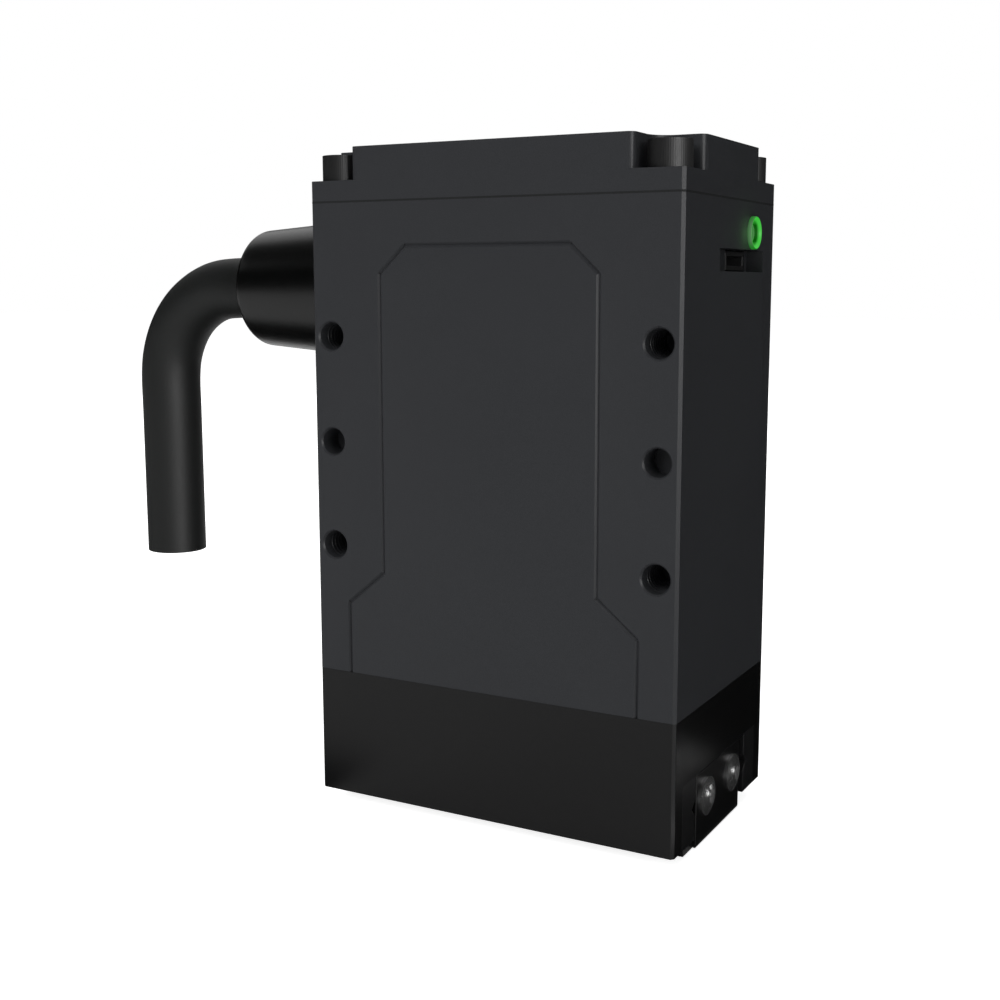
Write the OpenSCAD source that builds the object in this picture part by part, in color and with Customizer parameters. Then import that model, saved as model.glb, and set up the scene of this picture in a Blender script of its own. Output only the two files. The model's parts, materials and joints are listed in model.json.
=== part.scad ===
// Electric two finger gripper, in millimetres.
// X is the line that the jaws travel on, Y is front (-) to back (+), Z is up.
// Z = 0 is the plane of the two finger mounting faces, at the middle of the body.

/* [Body] */
// Width of the body, along the jaw travel
body_w = 60; // [59:0.5:66]
// Depth of the body, front to back
body_d = 37.3; // [37:0.1:42]
// Height of the guide base
base_h = 19.6; // [19:0.1:24]
// Height of the drive housing
housing_h = 71.8; // [71.8:0.1:82]
// Chamfer down the four upright edges of the body
edge_chamfer = 0.45; // [0.3:0.05:1.2]
// How far the jaws stand proud below the base
jaw_proud = 1.9; // [1.4:0.1:3]

/* [Top cover] */
// Thickness of the cover's flange
cover_flange_h = 3.1; // [2.5:0.1:4]
// Height of the raised middle of the cover
cover_boss_h = 4.8; // [4.3:0.1:7]
// Side of the square screw notch in each corner of the cover
cover_notch = 7.3; // [7:0.1:9]
// Radius of the notch's inner corner
cover_notch_r = 3.2; // [1:0.1:4]
// Radius of the raised middle's own upright edges
cover_edge_r = 1.1; // [0.4:0.05:1.5]
// Distance of each cover screw from the two nearest faces
cover_screw_inset = 3.55; // [3.4:0.05:3.9]
// Head diameter of the cover screws
cover_head_d = 6.1; // [5.5:0.1:6.4]
// Head height of the cover screws
cover_head_h = 3.8; // [3:0.1:4.2]

/* [Mounting holes] */
// Distance of each column of mounting holes from the side face
mount_inset = 3.3; // [3.1:0.1:3.6]
// Distance between neighbouring holes of a column
mount_pitch_z = 16; // [14:0.5:18]
// Height of the middle holes above the base's lower face
mount_mid_z = 55.55; // [50:0.05:58]
// Thread of the four outer holes on the front face
front_thread = 5; // [4:0.5:5]
// Thread of the four outer holes on the back face
back_thread = 4; // [3:0.5:4.5]
// Depth of the threaded mounting holes
mount_depth = 8; // [6:0.5:10]
// Diameter of the two middle dowel holes on the front face
front_dowel_d = 4; // [3:0.5:4]
// Diameter of the two middle dowel holes on the back face
back_dowel_d = 3; // [2:0.5:3.5]
// Depth of the dowel holes
mount_dowel_depth = 4; // [3:0.5:6]
// Chamfer round the mouth of each mounting hole
mount_rim = 0.25; // [0.1:0.05:0.4]

/* [Front panel line] */
// Width of the engraved line round the front panel
line_w = 0.7; // [0.4:0.1:1]
// Half width of the panel's top edge
panel_top_x = 13.4; // [10:0.1:15]
// Half width of the panel over most of its height
panel_side_x = 17.8; // [16:0.1:19]
// Half width of the panel where it meets the base
panel_foot_x = 24.1; // [22:0.1:24.3]
// Height of the panel's top edge above the base's lower face
panel_top_z = 84.9; // [80:0.1:87]
// Height at which the top corners end
panel_shoulder_z = 80.8; // [76:0.1:82]
// Height at which the sides start to spread
panel_waist_z = 35.9; // [33:0.1:38]
// Height at which the spread ends
panel_hip_z = 30.7; // [26:0.1:32]

/* [Housing inside] */
// Wall at either side of the cavity
side_wall = 6.5; // [6.2:0.1:6.7]
// Wall at the front and the back of the cavity
broad_wall = 3; // [2.6:0.1:3.1]
// Floor under the gearbox
floor_t = 4; // [3.8:0.1:5]
// Radius of the cavity's upright corners
cavity_r = 3; // [2:0.5:3.5]
// Width of the gasket
gasket_w = 1; // [0.8:0.1:1.1]
// Depth of the gasket's groove in the housing
gasket_t = 1; // [0.8:0.1:1.5]
// Wall between the cavity and the gasket's groove
gasket_wall = 0.5; // [0.4:0.1:0.7]
// Thread of the screws that hold the base to the housing
base_screw_thread = 2.5; // [2:0.5:2.5]
// Distance of the base screws and the dowel pins from the side faces
base_screw_inset = 4; // [3.6:0.1:4.2]
// Distance of the base screws from the middle plane
base_screw_y = 12.2; // [12:0.1:12.6]
// Diameter of the two dowel pins between base and housing
dowel_d = 3; // [2:0.5:3]
// Length of the dowel pins
dowel_l = 7; // [6:0.5:7]
// Distance of the dowel pins from the middle plane
dowel_y = 6; // [5:0.1:7.5]
// How far the cover's rim reaches into the cavity
cover_rim_h = 1; // [0.8:0.1:1.2]
// Thickness of the cover's rim
cover_rim_t = 1.4; // [1:0.1:2]

/* [Guide] */
// Height of the slot in the base
slot_h = 9.6; // [9.5:0.1:11]
// Half width of the gap between the two rails
rail_gap_half = 10.4; // [10.4:0.1:10.8]
// Thickness of each rail, front to back
rail_t = 5; // [4.8:0.1:5.2]
// Height of the roller line above the base's lower face
groove_z = 4.9; // [4.7:0.1:5.1]
// Diameter of the crossed rollers
roller_d = 3; // [2.6:0.1:3]
// Length of the crossed rollers
roller_l = 2.8; // [2.4:0.1:2.8]
// Gap between jaw and rail, in which the cages run
guide_gap = 1.7; // [1.5:0.1:1.8]
// Distance between rollers
roller_pitch = 4; // [3.8:0.1:4.2]
// Rollers in one cage
roller_count = 5; // [3:1:5]
// Distance of the first roller from the middle of the body
roller_start = 6.5; // [6:0.5:7]
// Thickness of the roller cages
cage_t = 0.6; // [0.4:0.1:0.8]
// Height of the roller cages
cage_h = 6; // [5.6:0.1:6.4]
// Thread of the rail screws
rail_thread = 2; // [1.6:0.2:2]
// Distance of the outer rail screws from the side faces
rail_screw_inset = 12; // [11:0.5:14]
// Distance of the rail screws from the middle plane
rail_screw_y = 13.2; // [13:0.1:13.4]

/* [Jaws] */
// Travel of each jaw, from closed to open
jaw_travel = 5; // [2:0.5:5]
// Half of the gap between the closed jaws
jaw_meet_gap = 0.35; // [0.3:0.05:0.6]
// Thickness of the stop plate on the end of each jaw
plate_t = 0.5; // [0.4:0.1:1]
// Width of the stop plates
plate_w = 18.4; // [17.4:0.1:18.6]
// How far the stop plates' faces lie inside the ends of the base
plate_inset = 0.3; // [0:0.05:0.6]
// How far each jaw's dust lip reaches past its side
lip_reach = 4.2; // [3:0.1:5]
// Thread of the finger screws and of the stop plate screws
finger_thread = 3; // [2.5:0.5:3]
// Distance between finger screws along the travel
finger_pitch_x = 13; // [12:0.5:14]
// Distance between finger screws across the travel
finger_pitch_y = 10; // [9:0.5:10.5]
// Distance from the middle of the body to the middle of each finger pattern
finger_mid_x = 15; // [14.5:0.1:15.2]
// Depth of the finger screw holes
finger_depth = 5; // [4:0.5:5.5]
// Diameter of the finger dowel hole in each jaw
finger_dowel_d = 3; // [2:0.5:3]
// Distance between the two stop plate screws
plate_screw_pitch = 10.9; // [10:0.1:11.2]
// Height of the stop plate screws above the base's lower face
plate_screw_z = 4.95; // [4.8:0.05:5.6]
// Head diameter of the stop plate screws
plate_head_d = 5.7; // [5:0.1:5.8]
// Head height of the stop plate screws
plate_head_h = 1.2; // [0.9:0.1:1.6]
// Height of the upright side of those heads, below the dome
plate_head_side = 0.45; // [0.2:0.05:0.6]

/* [Rack and pinion] */
// Module of the pinion and the racks
pinion_module = 0.6; // [0.5:0.05:0.6]
// Teeth of the pinion
pinion_teeth = 16; // [12:4:16]
// Height of the pinion and the racks
pinion_h = 4.1; // [3:0.1:4.3]
// Teeth of each rack on the far side of the pinion
rack_far_teeth = 5; // [4:1:5]
// Teeth of each rack on the near side of the pinion
rack_near_teeth = 2; // [2:1:3]
// Far end of each rack's foot, from the middle of the body
rack_foot_end = 17; // [15:0.1:17]
// Near end of each rack's foot, from the middle of the body
rack_foot_start = 6.8; // [6.5:0.1:7]
// How far each rack's foot reaches behind the middle plane
rack_foot_back = 1.5; // [0.5:0.1:1.5]
// Thickness of each rack's foot
rack_foot_t = 2.5; // [2:0.1:3]
// Thread of the rack screws
rack_thread = 2.5; // [2:0.5:2.5]
// Wall left over the rack chamber, under the bearing
chamber_roof = 0.5; // [0.4:0.1:1]
// Outer diameter of the pinion's bearing
pinion_bearing_d = 9; // [8:0.5:9]
// Height of the pinion's bearing
pinion_bearing_h = 4; // [3.5:0.1:4]
// Diameter of the pinion's shaft
pinion_shaft_d = 4; // [3:0.5:4]

/* [Gearbox] */
// Module of the planetary stage
gear_module = 0.45; // [0.4:0.01:0.45]
// Teeth of the sun gear and of each planet gear
sun_teeth = 18; // [18:6:24]
// Face width of the planetary gears
gear_face = 5; // [4:0.1:5.5]
// Pressure angle of every gear
pressure_angle = 25; // [20:1:25]
// Outer diameter of the planet carrier's bearing
carrier_bearing_d = 16; // [15:0.5:16]
// Height of the planet carrier's bearing
carrier_bearing_h = 3.5; // [3:0.1:3.5]
// Diameter of the planet carrier's hub
carrier_hub_d = 8; // [7:0.5:8]
// Diameter of the pins that the planet gears turn on
planet_pin_d = 2; // [1.6:0.1:2.2]
// Height of the gearbox block
gearbox_h = 10.5; // [10:0.1:12]
// Gap between the gearbox block and the side walls of the cavity
gearbox_gap_x = 4.6; // [4.4:0.1:5.4]
// Gap between the gearbox block and the broad walls of the cavity
gearbox_gap_y = 0.45; // [0.35:0.05:0.8]
// Distance of the gearbox screws from the block's side faces
gearbox_screw_in_x = 2.9; // [2.7:0.1:3.2]
// Distance of the gearbox screws from the block's broad faces
gearbox_screw_in_y = 3.2; // [2.8:0.1:3.4]

/* [Motor] */
// Gap between the motor and the broad walls of the cavity
motor_gap = 1.65; // [1:0.05:2.5]
// Length of the motor's can
motor_l = 31; // [26:0.5:32]
// Wall of the motor's can
can_t = 0.9; // [0.6:0.1:1.2]
// Thickness of the motor's front cap
front_cap_t = 3; // [3:0.1:4]
// Thickness of the motor's rear cap
rear_cap_t = 2.6; // [2.6:0.1:3.5]
// Diameter of the motor's shaft
motor_shaft_d = 3; // [2.5:0.5:3]
// Depth of the stator's ring, from its bore to its outside
stator_ring = 6.1; // [5.6:0.1:6.6]
// Outer diameter of the motor's bearings
motor_bearing_d = 8; // [7:0.5:8]
// Height of the motor's bearings
motor_bearing_h = 2.5; // [2:0.1:2.5]
// Gap between rotor and stator
air_gap = 0.5; // [0.4:0.1:0.8]
// Distance of the stator's core from either end of the can
stator_end = 4.5; // [4:0.1:5.5]
// Slots in the stator
stator_slots = 9; // [6:3:12]
// Depth of the stator's ring behind its slots
stator_yoke = 1.8; // [1.2:0.1:2]

/* [Electronics] */
// Gap between the controller board and the broad walls of the cavity
board_side_gap = 1.15; // [0.8:0.05:2]
// Height of the controller board
board_h = 57; // [55:0.5:57]
// Thickness of the circuit boards
board_t = 1.6; // [1:0.1:1.8]
// Gap between the controller board and the side wall
board_gap = 2.1; // [2:0.1:2.3]
// Distance of the board's screws from its upright edges
board_screw_in_y = 2.2; // [2.1:0.1:3]
// Distance of the board's screws from its ends
board_screw_in_z = 12.5; // [12:0.5:14]
// Thread of the board's screws
board_screw_thread = 2; // [1.6:0.2:2]
// Diameter of the round encoder board
encoder_board_d = 24; // [23:0.5:26]
// Distance of the encoder's posts from the motor's axis
encoder_post_r = 10.2; // [9.5:0.1:10.6]
// Distance of the status light behind the middle of the side face
light_y = 8.6; // [7:0.1:9]
// Height of the status light above the base's lower face
light_z = 86.9; // [86.9:0.1:88]
// Diameter of the status light
light_d = 4.8; // [4:0.1:5.2]
// Diameter of the light's clear pipe
light_stem_d = 3.6; // [3:0.1:3.8]
// How far the status light stands proud of the side face
light_proud = 0.65; // [0.5:0.05:1.2]
// How far the clear pipe's end lies inside the light ring's face
light_sunk = 0.6; // [0:0.05:1]
// Front end of the service port's recess, from the middle of the side face
port_start_y = -5; // [-8:0.5:-4]
// Back end of the service port's recess
port_end_y = 13.6; // [12.6:0.1:13.6]
// Height of the middle of the service port above the base's lower face
port_z = 82.8; // [82:0.1:82.8]
// Height of the service port's recess
port_h = 3.2; // [2.8:0.1:3.4]
// Depth of the service port's recess
port_depth = 2.6; // [2:0.1:3]
// Gap round the socket in the service port
socket_gap = 0.2; // [0.1:0.05:0.25]
// Width of the socket in the service port
socket_w = 8; // [6:0.5:8.4]

/* [Cable] */
// Diameter of the cable
cable_d = 10.3; // [9:0.1:10.3]
// Root diameter of the cable gland
gland_root_d = 22.5; // [21:0.1:23]
// End diameter of the cable gland
gland_end_d = 19.4; // [18:0.1:20]
// Length of the cable gland outside the housing
gland_l = 23; // [20:0.5:24]
// Thickness of the seal between gland and housing
gland_seal_t = 1.2; // [0.8:0.1:1.5]
// Diameter of the gland's thread through the wall
gland_thread_d = 16; // [15:0.5:16]
// Width across the flats of the gland's nut
gland_nut_w = 20; // [19:0.5:20]
// Thickness of the gland's nut
gland_nut_t = 3; // [2:0.1:4]
// Height of the cable's axis above the base's lower face
gland_z = 78.6; // [78.6:0.1:79.2]
// Number of leads in the cable
leads = 6; // [4:1:6]
// Diameter of each lead
lead_d = 1.3; // [1:0.1:1.4]

/* [Fits] */
// Gap round a turning or rolling part
running_gap = 0.03; // [0.02:0.01:0.05]
// Gap between parts that pass each other
free_gap = 0.4; // [0.35:0.05:0.5]
// Gap round a pinned, screwed or glued part
snug_gap = 0.02; // [0.01:0.01:0.05]
// Gap between the flanks of meshing teeth
backlash = 0.1; // [0.08:0.01:0.14]

/* [Hidden] */
$fn = 64;

graphite = [0.21, 0.215, 0.225];
black_coat = [0.09, 0.09, 0.095];
black_rubber = [0.07, 0.075, 0.075];
steel = [0.66, 0.66, 0.68];
dark_steel = [0.3, 0.3, 0.32];
brass = [0.75, 0.6, 0.3];
copper = [0.72, 0.4, 0.22];
board_green = [0.05, 0.3, 0.16];
light_green = [0.1, 0.9, 0.2];
pipe_grey = [0.75, 0.8, 0.75];
chip_black = [0.1, 0.1, 0.11];
lead_red = [0.5, 0.15, 0.12];

touch = 0.01;             // overlap of two flat shapes that join
tap_share = 0.84;        // a tapped hole's core over its thread
cut_past = 1;            // how far a cutting tool runs past the stock
socket_share = 0.5;      // a screw's hexagon socket over its head
through_gap = 0.1;       // round a screw where it passes without thread
tap_end = 0.5;           // room beyond the end of a screw

// Levels, from the finger faces up
base_z = jaw_proud;
slot_top = base_z + slot_h;
roller_z = base_z + groove_z;
housing_z = base_z + base_h;
floor_z = housing_z + floor_t;
cover_z = housing_z + housing_h;
boss_z = cover_z + cover_flange_h;
cavity_x = body_w / 2 - side_wall;
cavity_y = body_d / 2 - broad_wall;

// Outer half sizes of the gasket's groove
gasket_x = cavity_x + gasket_wall + gasket_w;
gasket_y = cavity_y + gasket_wall + gasket_w;

// Screws of the body
cover_thread = 3;
cover_screw_x = body_w / 2 - cover_screw_inset;
cover_screw_y = body_d / 2 - cover_screw_inset;
cover_screw_hold = 5.5;
base_screw_x = body_w / 2 - base_screw_inset;
dowel_x = base_screw_x;
base_head_d = 4.5;
base_head_h = 2.5;
base_screw_sink = 3;
base_screw_hold = 3.5;

// Guide
roller_y = rail_gap_half - guide_gap / 2;
jaw_half_w = rail_gap_half - guide_gap;
groove_reach = roller_d / sqrt(2);
plate_face_x = body_w / 2 - plate_inset;
jaw_end_x = plate_face_x - plate_t;
jaw_top = slot_top - free_gap;
lip_gap = 0.3;           // between a jaw's dust lip and the base
lip_t = jaw_proud - lip_gap;
cage_margin = 1.2;       // from the end rollers to the ends of a cage
cage_l = roller_pitch * (roller_count - 1) + roller_d + 2 * cage_margin;
cage_start = roller_start - roller_d / 2 - cage_margin;
rail_screw_x = body_w / 2 - rail_screw_inset;
rail_head_d = 3.8;
rail_head_h = 2;
rail_sink = 2.2;
rail_screw_hold = 4;
plate_screw_hold = 6;
plate_screw_level = base_z + plate_screw_z;

// Rack and pinion
tooth_add = 0.9;         // tooth height above the pitch line, over the module
tooth_ded = 1.2;         // tooth depth below the pitch line, over the module
pinion_r = pinion_module * pinion_teeth / 2;
rack_pitch = PI * pinion_module;
rack_z = jaw_top + free_gap;
rack_h = pinion_h + 0.3; // the racks are a little taller than the pinion
rack_head_d = 4.5;
rack_head_h = 2.3;
rack_screw_hold = 4;
chamber_x = rack_foot_end + jaw_travel + 0.5;
chamber_y = jaw_half_w + 0.5;
chamber_top = housing_z - pinion_bearing_h - chamber_roof;
pinion_z = rack_z + 0.3;
pinion_top_gap = 0.5;    // from the top of the pinion's shaft to the carrier's face
rack_screw_edge = 2.8;   // from either end of a rack's foot to its screws
rack_screw_front = 3;    // of the rack screws in front of the middle plane
rack_screw_y = -rack_screw_front;
rack_screw_xs = [rack_foot_start + rack_screw_edge, rack_foot_end - rack_screw_edge];

// Gearbox
planets = 3;
gear_r = gear_module * sun_teeth / 2;
ring_teeth = 3 * sun_teeth;
planet_orbit = 2 * gear_r;
gearbox_x = cavity_x - gearbox_gap_x;
gearbox_y = cavity_y - gearbox_gap_y;
gearbox_screw_x = gearbox_x - gearbox_screw_in_x;
gearbox_screw_y = gearbox_y - gearbox_screw_in_y;
gearbox_top = floor_z + gearbox_h;
carrier_z = floor_z + 0.3;
carrier_t = 2;
pinion_top = carrier_z + carrier_t - pinion_top_gap;
carrier_rim = 2.6;       // of the carrier's plate, round the planet pins
gears_z = carrier_z + carrier_t + free_gap;
bearing_land = 1.5;      // the lip that the carrier bearing rests against
pin_collar_d = planet_pin_d + 1.4;
pin_collar_h = 0.6;
bearing_relief_d = 12.5; // of the base, under the carrier bearing's inner ring
bearing_relief = 0.3;
gearbox_thread = 2.5;
gearbox_head_d = 4.5;
gearbox_head_h = 2.5;
gearbox_screw_hold = 3;
block_r = 2;             // the upright corners of the gearbox block and the front cap

// Motor
motor_d = 2 * (cavity_y - motor_gap);
can_z = gearbox_top + front_cap_t;
rear_z = can_z + motor_l;
rear_top = rear_z + rear_cap_t;
shaft_top = rear_top + 1.8;
cap_hole_d = motor_bearing_d - 2.4;
stator_r = motor_d / 2 - can_t - snug_gap;
stator_bore_r = stator_r - stator_ring;
rotor_d = 2 * (stator_bore_r - air_gap);
tooth_tip = 1;           // of the stator's teeth, between bore and slots
slot_back = 0.2;         // between the slots and the ring's yoke
stator_slot_d = stator_ring - stator_yoke - tooth_tip - slot_back;
stator_slot_r = stator_bore_r + tooth_tip + stator_slot_d / 2;
stator_slot_mouth = 0.7;
winding_gap = 0.15;      // between the windings and the slots
winding_inset = 1.5;     // of the windings from either end of the can
winding_wrap = 0.05;     // of that ring past the bars on both sides
winding_end_h = 2.5;     // of the ring of copper at either end
rotor_past = 1;          // the rotor's magnet reaches past the stator's core

// Electronics and cable
board_x = cavity_x - board_gap;
board_face = board_x - board_t;
board_w = 2 * (cavity_y - board_side_gap);
board_drop = 6;          // of the board's lower end below the motor
board_z = can_z - board_drop;
board_screw_y = board_w / 2 - board_screw_in_y;
board_screw_zs = [board_z + board_screw_in_z, board_z + board_h - board_screw_in_z];
board_head_d = 3.8;
board_head_h = 1.6;
board_screw_hold = board_gap + 2;
board_boss_d = 4;
chip_t = 1.1;
main_chip_w = 7;
main_chip_z = 20;        // of the main chip's row above the board's lower end
driver_w = 5;
driver_h = 6;
driver_pitch = 7;
driver_z = 34;           // of the driver chips' row above the board's lower end
capacitor_d = 3.2;
capacitor_h = 3.4;
capacitor_y = 7.2;
capacitor_pitch = 3.5;
header_depth = 4.5;
header_w = 13;
header_h = 5;
encoder_magnet_d = 5;
encoder_magnet_h = 2;
encoder_board_t = 1;
encoder_post_d = 2.6;
light_level = base_z + light_z;
port_level = base_z + port_z;
gland_level = base_z + gland_z;
header_z = gland_level;
encoder_gap = 1;         // between the magnet and the encoder board
encoder_z = shaft_top + encoder_magnet_h + encoder_gap;
socket_y = port_end_y - 1 - socket_gap - socket_w / 2;
socket_mouth_h = 1.4;
socket_wall = 0.6;
socket_bore = 3;
gland_inner = cavity_x - body_w / 2 - gland_nut_t;
gland_edge = 0.8;        // chamfer round the gland's end
lead_clear = 5.5;        // from the encoder board to the middle of the leads over it
lead_side = 1;           // the leads are up this far beside the encoder board
lead_crest_x = 4;        // they lie level over the middle for this far to either side
lead_straight = 4;       // the leads' straight ends
lead_sag = 1;            // of the leads on either side of their crest
lead_pass_z = encoder_z + encoder_board_t + lead_clear;
lead_ring_r = 3;         // the leads' circle inside the cable
lead_spread = 1.5;       // the leads' spacing at the header, over that inside the cable

// The cable's centre line: out of the gland, over one bend and down to its cut end
cable_route = [
    [-21, 80.5], [-26, 80.5], [-32, 80.5], [-38, 80.5], [-44, 80.5], [-50, 80.5], [-55, 80.5],
    [-60.2, 80.5], [-64.3, 80], [-68.1, 78.4], [-71.4, 75.9], [-73.9, 72.6], [-75.5, 68.8],
    [-76.1, 64.7], [-76.1, 59], [-76.1, 53], [-76.1, 46], [-76.1, 39.5], [-76.1, 33.1]
];

cable_end_x = cable_route[0].x;

function tap_r(thread) = thread * tap_share / 2;
function polar(r, a) = [r * cos(a), r * sin(a)];
function arc_of(r, base_r) = acos(min(1, base_r / r));
function inv(a) = tan(a) * 180 / PI - a;
// Half of a tooth's angle at radius r, on a gear whose tooth is `half` wide at its pitch circle
function tooth_half(r, pitch_r, base_r, half) =
    half * 180 / PI / pitch_r + inv(pressure_angle) - inv(arc_of(r, base_r));
// Outline of a spur gear; gain widens its teeth, and steps are the points of a flank
function gear_outline(teeth, m, add, ded, gain, steps = 4) =
    let (
        pitch_r = m * teeth / 2,
        base_r = pitch_r * cos(pressure_angle),
        half = PI * m / 4 + gain / 2,
        tip = pitch_r + add * m,
        root = pitch_r - ded * m,
        start = max(base_r, root),
        radii = [for (i = [0:steps]) start + (tip - start) * i / steps]
    )
    [for (t = [0:teeth - 1]) let (a = 360 * t / teeth) each concat(
        [polar(root, a - tooth_half(start, pitch_r, base_r, half))],
        [for (r = radii) polar(r, a - tooth_half(r, pitch_r, base_r, half))],
        [for (i = [steps:-1:0]) polar(radii[i], a + tooth_half(radii[i], pitch_r, base_r, half))],
        [polar(root, a + tooth_half(start, pitch_r, base_r, half))]
    )];

function unit(v) = v / norm(v);
function heading(p, i) = unit(p[min(i + 1, len(p) - 1)] - p[max(i - 1, 0)]);

// ---- shapes that several parts share ----

module chamfered(w, d, c) {
    polygon([
        [w / 2 - c, -d / 2], [w / 2, -d / 2 + c], [w / 2, d / 2 - c], [w / 2 - c, d / 2],
        [-w / 2 + c, d / 2], [-w / 2, d / 2 - c], [-w / 2, -d / 2 + c], [-w / 2 + c, -d / 2]
    ]);
}

module rounded(w, d, r) {
    square([w - 2 * r, d], center = true);
    square([w, d - 2 * r], center = true);
    for (x = [-1, 1], y = [-1, 1]) translate([x * (w / 2 - r), y * (d / 2 - r)]) circle(r);
}

module frame(w, d, r, t) {
    difference() {
        rounded(w, d, r);
        rounded(w - 2 * t, d - 2 * t, max(r - t, 0.2));
    }
}

module corners(x, y) {
    for (i = [-1, 1], j = [-1, 1]) translate([i * x, j * y, 0]) children();
}

module other_side() {
    rotate([0, 0, 180]) children();
}

// A socket head screw along -Z, seated at z = 0: `grip` passes clear, `hold` is in thread
module cap_screw(thread, head_d, head_h, grip, hold) {
    difference() {
        cylinder(d = head_d, h = head_h);
        translate([0, 0, head_h * 0.45])
            cylinder(d = head_d * socket_share, h = head_h, $fn = 6);
    }
    translate([0, 0, -grip]) cylinder(d = thread, h = grip);
    translate([0, 0, -grip - hold]) cylinder(r = tap_r(thread) - snug_gap, h = hold);
}

// A button head screw along -Z, seated at z = 0
module button_screw(thread, head_d, head_h, side_h, grip, hold) {
    dome_h = head_h - side_h;
    dome_r = (head_d * head_d / 4 + dome_h * dome_h) / (2 * dome_h);
    difference() {
        intersection() {
            translate([0, 0, head_h - dome_r]) sphere(dome_r);
            cylinder(d = head_d, h = head_h + cut_past);
        }
        translate([0, 0, head_h * 0.3])
            cylinder(d = head_d * 0.4, h = head_h, $fn = 6);
    }
    translate([0, 0, -grip]) cylinder(d = thread, h = grip);
    translate([0, 0, -grip - hold]) cylinder(r = tap_r(thread) - snug_gap, h = hold);
}

// A ball bearing: two grooved rings and their balls
module ball_bearing(bore_d, outer_d, h) {
    mid = (bore_d + outer_d) / 4;
    ball = min(h, (outer_d - bore_d) / 2) * 0.27;
    count = floor(2 * PI * mid / (2 * ball) * 0.8);
    ring_w = (outer_d - bore_d) / 2 * 0.3;
    difference() {
        cylinder(d = outer_d, h = h);
        translate([0, 0, -cut_past]) cylinder(d = outer_d - 2 * ring_w, h = h + 2 * cut_past);
        translate([0, 0, h / 2]) rotate_extrude() translate([mid, 0]) circle(ball + running_gap, $fn = 32);
    }
    difference() {
        cylinder(d = bore_d + 2 * ring_w, h = h);
        translate([0, 0, -cut_past]) cylinder(d = bore_d, h = h + 2 * cut_past);
        translate([0, 0, h / 2]) rotate_extrude() translate([mid, 0]) circle(ball + running_gap, $fn = 32);
    }
    for (i = [0:count - 1]) rotate([0, 0, 360 * i / count]) translate([mid, 0, h / 2]) sphere(ball);
}

// A tube along points in space, with flat ends
module tube(points, r, sides) {
    rings = len(points);
    verts = [for (i = [0:rings - 1])
        let (t = heading(points, i), u = unit(cross([0, 1, 0], t)), v = cross(t, u))
        for (k = [0:sides - 1]) points[i] + r * (cos(360 * k / sides) * u + sin(360 * k / sides) * v)];
    walls = [for (i = [0:rings - 2], k = [0:sides - 1]) let (n = (k + 1) % sides)
        [i * sides + n, i * sides + k, (i + 1) * sides + k, (i + 1) * sides + n]];
    start = [[for (k = [0:sides - 1]) k]];
    end = [[for (k = [sides - 1:-1:0]) (rings - 1) * sides + k]];
    polyhedron(verts, concat(start, walls, end), convexity = 4);
}

// ---- body ----

// The engraved line: V bars laid along the front face
module panel_line() {
    right = [
        [panel_foot_x, -cut_past], [panel_foot_x, panel_hip_z - base_h],
        [panel_side_x, panel_waist_z - base_h], [panel_side_x, panel_shoulder_z - base_h],
        [panel_top_x, panel_top_z - base_h]
    ];
    left = [for (i = [len(right) - 1:-1:0]) [-right[i].x, right[i].y]];
    line = concat(right, left);
    for (i = [0:len(line) - 2]) {
        run = line[i + 1] - line[i];
        translate([line[i].x, -body_d / 2, housing_z + line[i].y])
            rotate([0, -atan2(run.y, run.x), 0])
                rotate([45, 0, 0])
                    translate([0, -line_w / 2 / sqrt(2), -line_w / 2 / sqrt(2)])
                        cube([norm(run), line_w / sqrt(2), line_w / sqrt(2)]);
    }
}

// One mounting hole, bored along +Y from the front face
module mount_hole(r, depth) {
    rotate([-90, 0, 0]) {
        translate([0, 0, -cut_past]) cylinder(r = r, h = depth + cut_past);
        translate([0, 0, -cut_past])
            cylinder(r1 = r + mount_rim + cut_past, r2 = r, h = mount_rim + cut_past);
    }
}

module mount_holes(thread, dowel) {
    for (x = [-1, 1], row = [-1:1])
        translate([x * (body_w / 2 - mount_inset), -body_d / 2, base_z + mount_mid_z + row * mount_pitch_z])
            mount_hole(row == 0 ? dowel / 2 : tap_r(thread),
                       row == 0 ? mount_dowel_depth : mount_depth);
}

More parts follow.
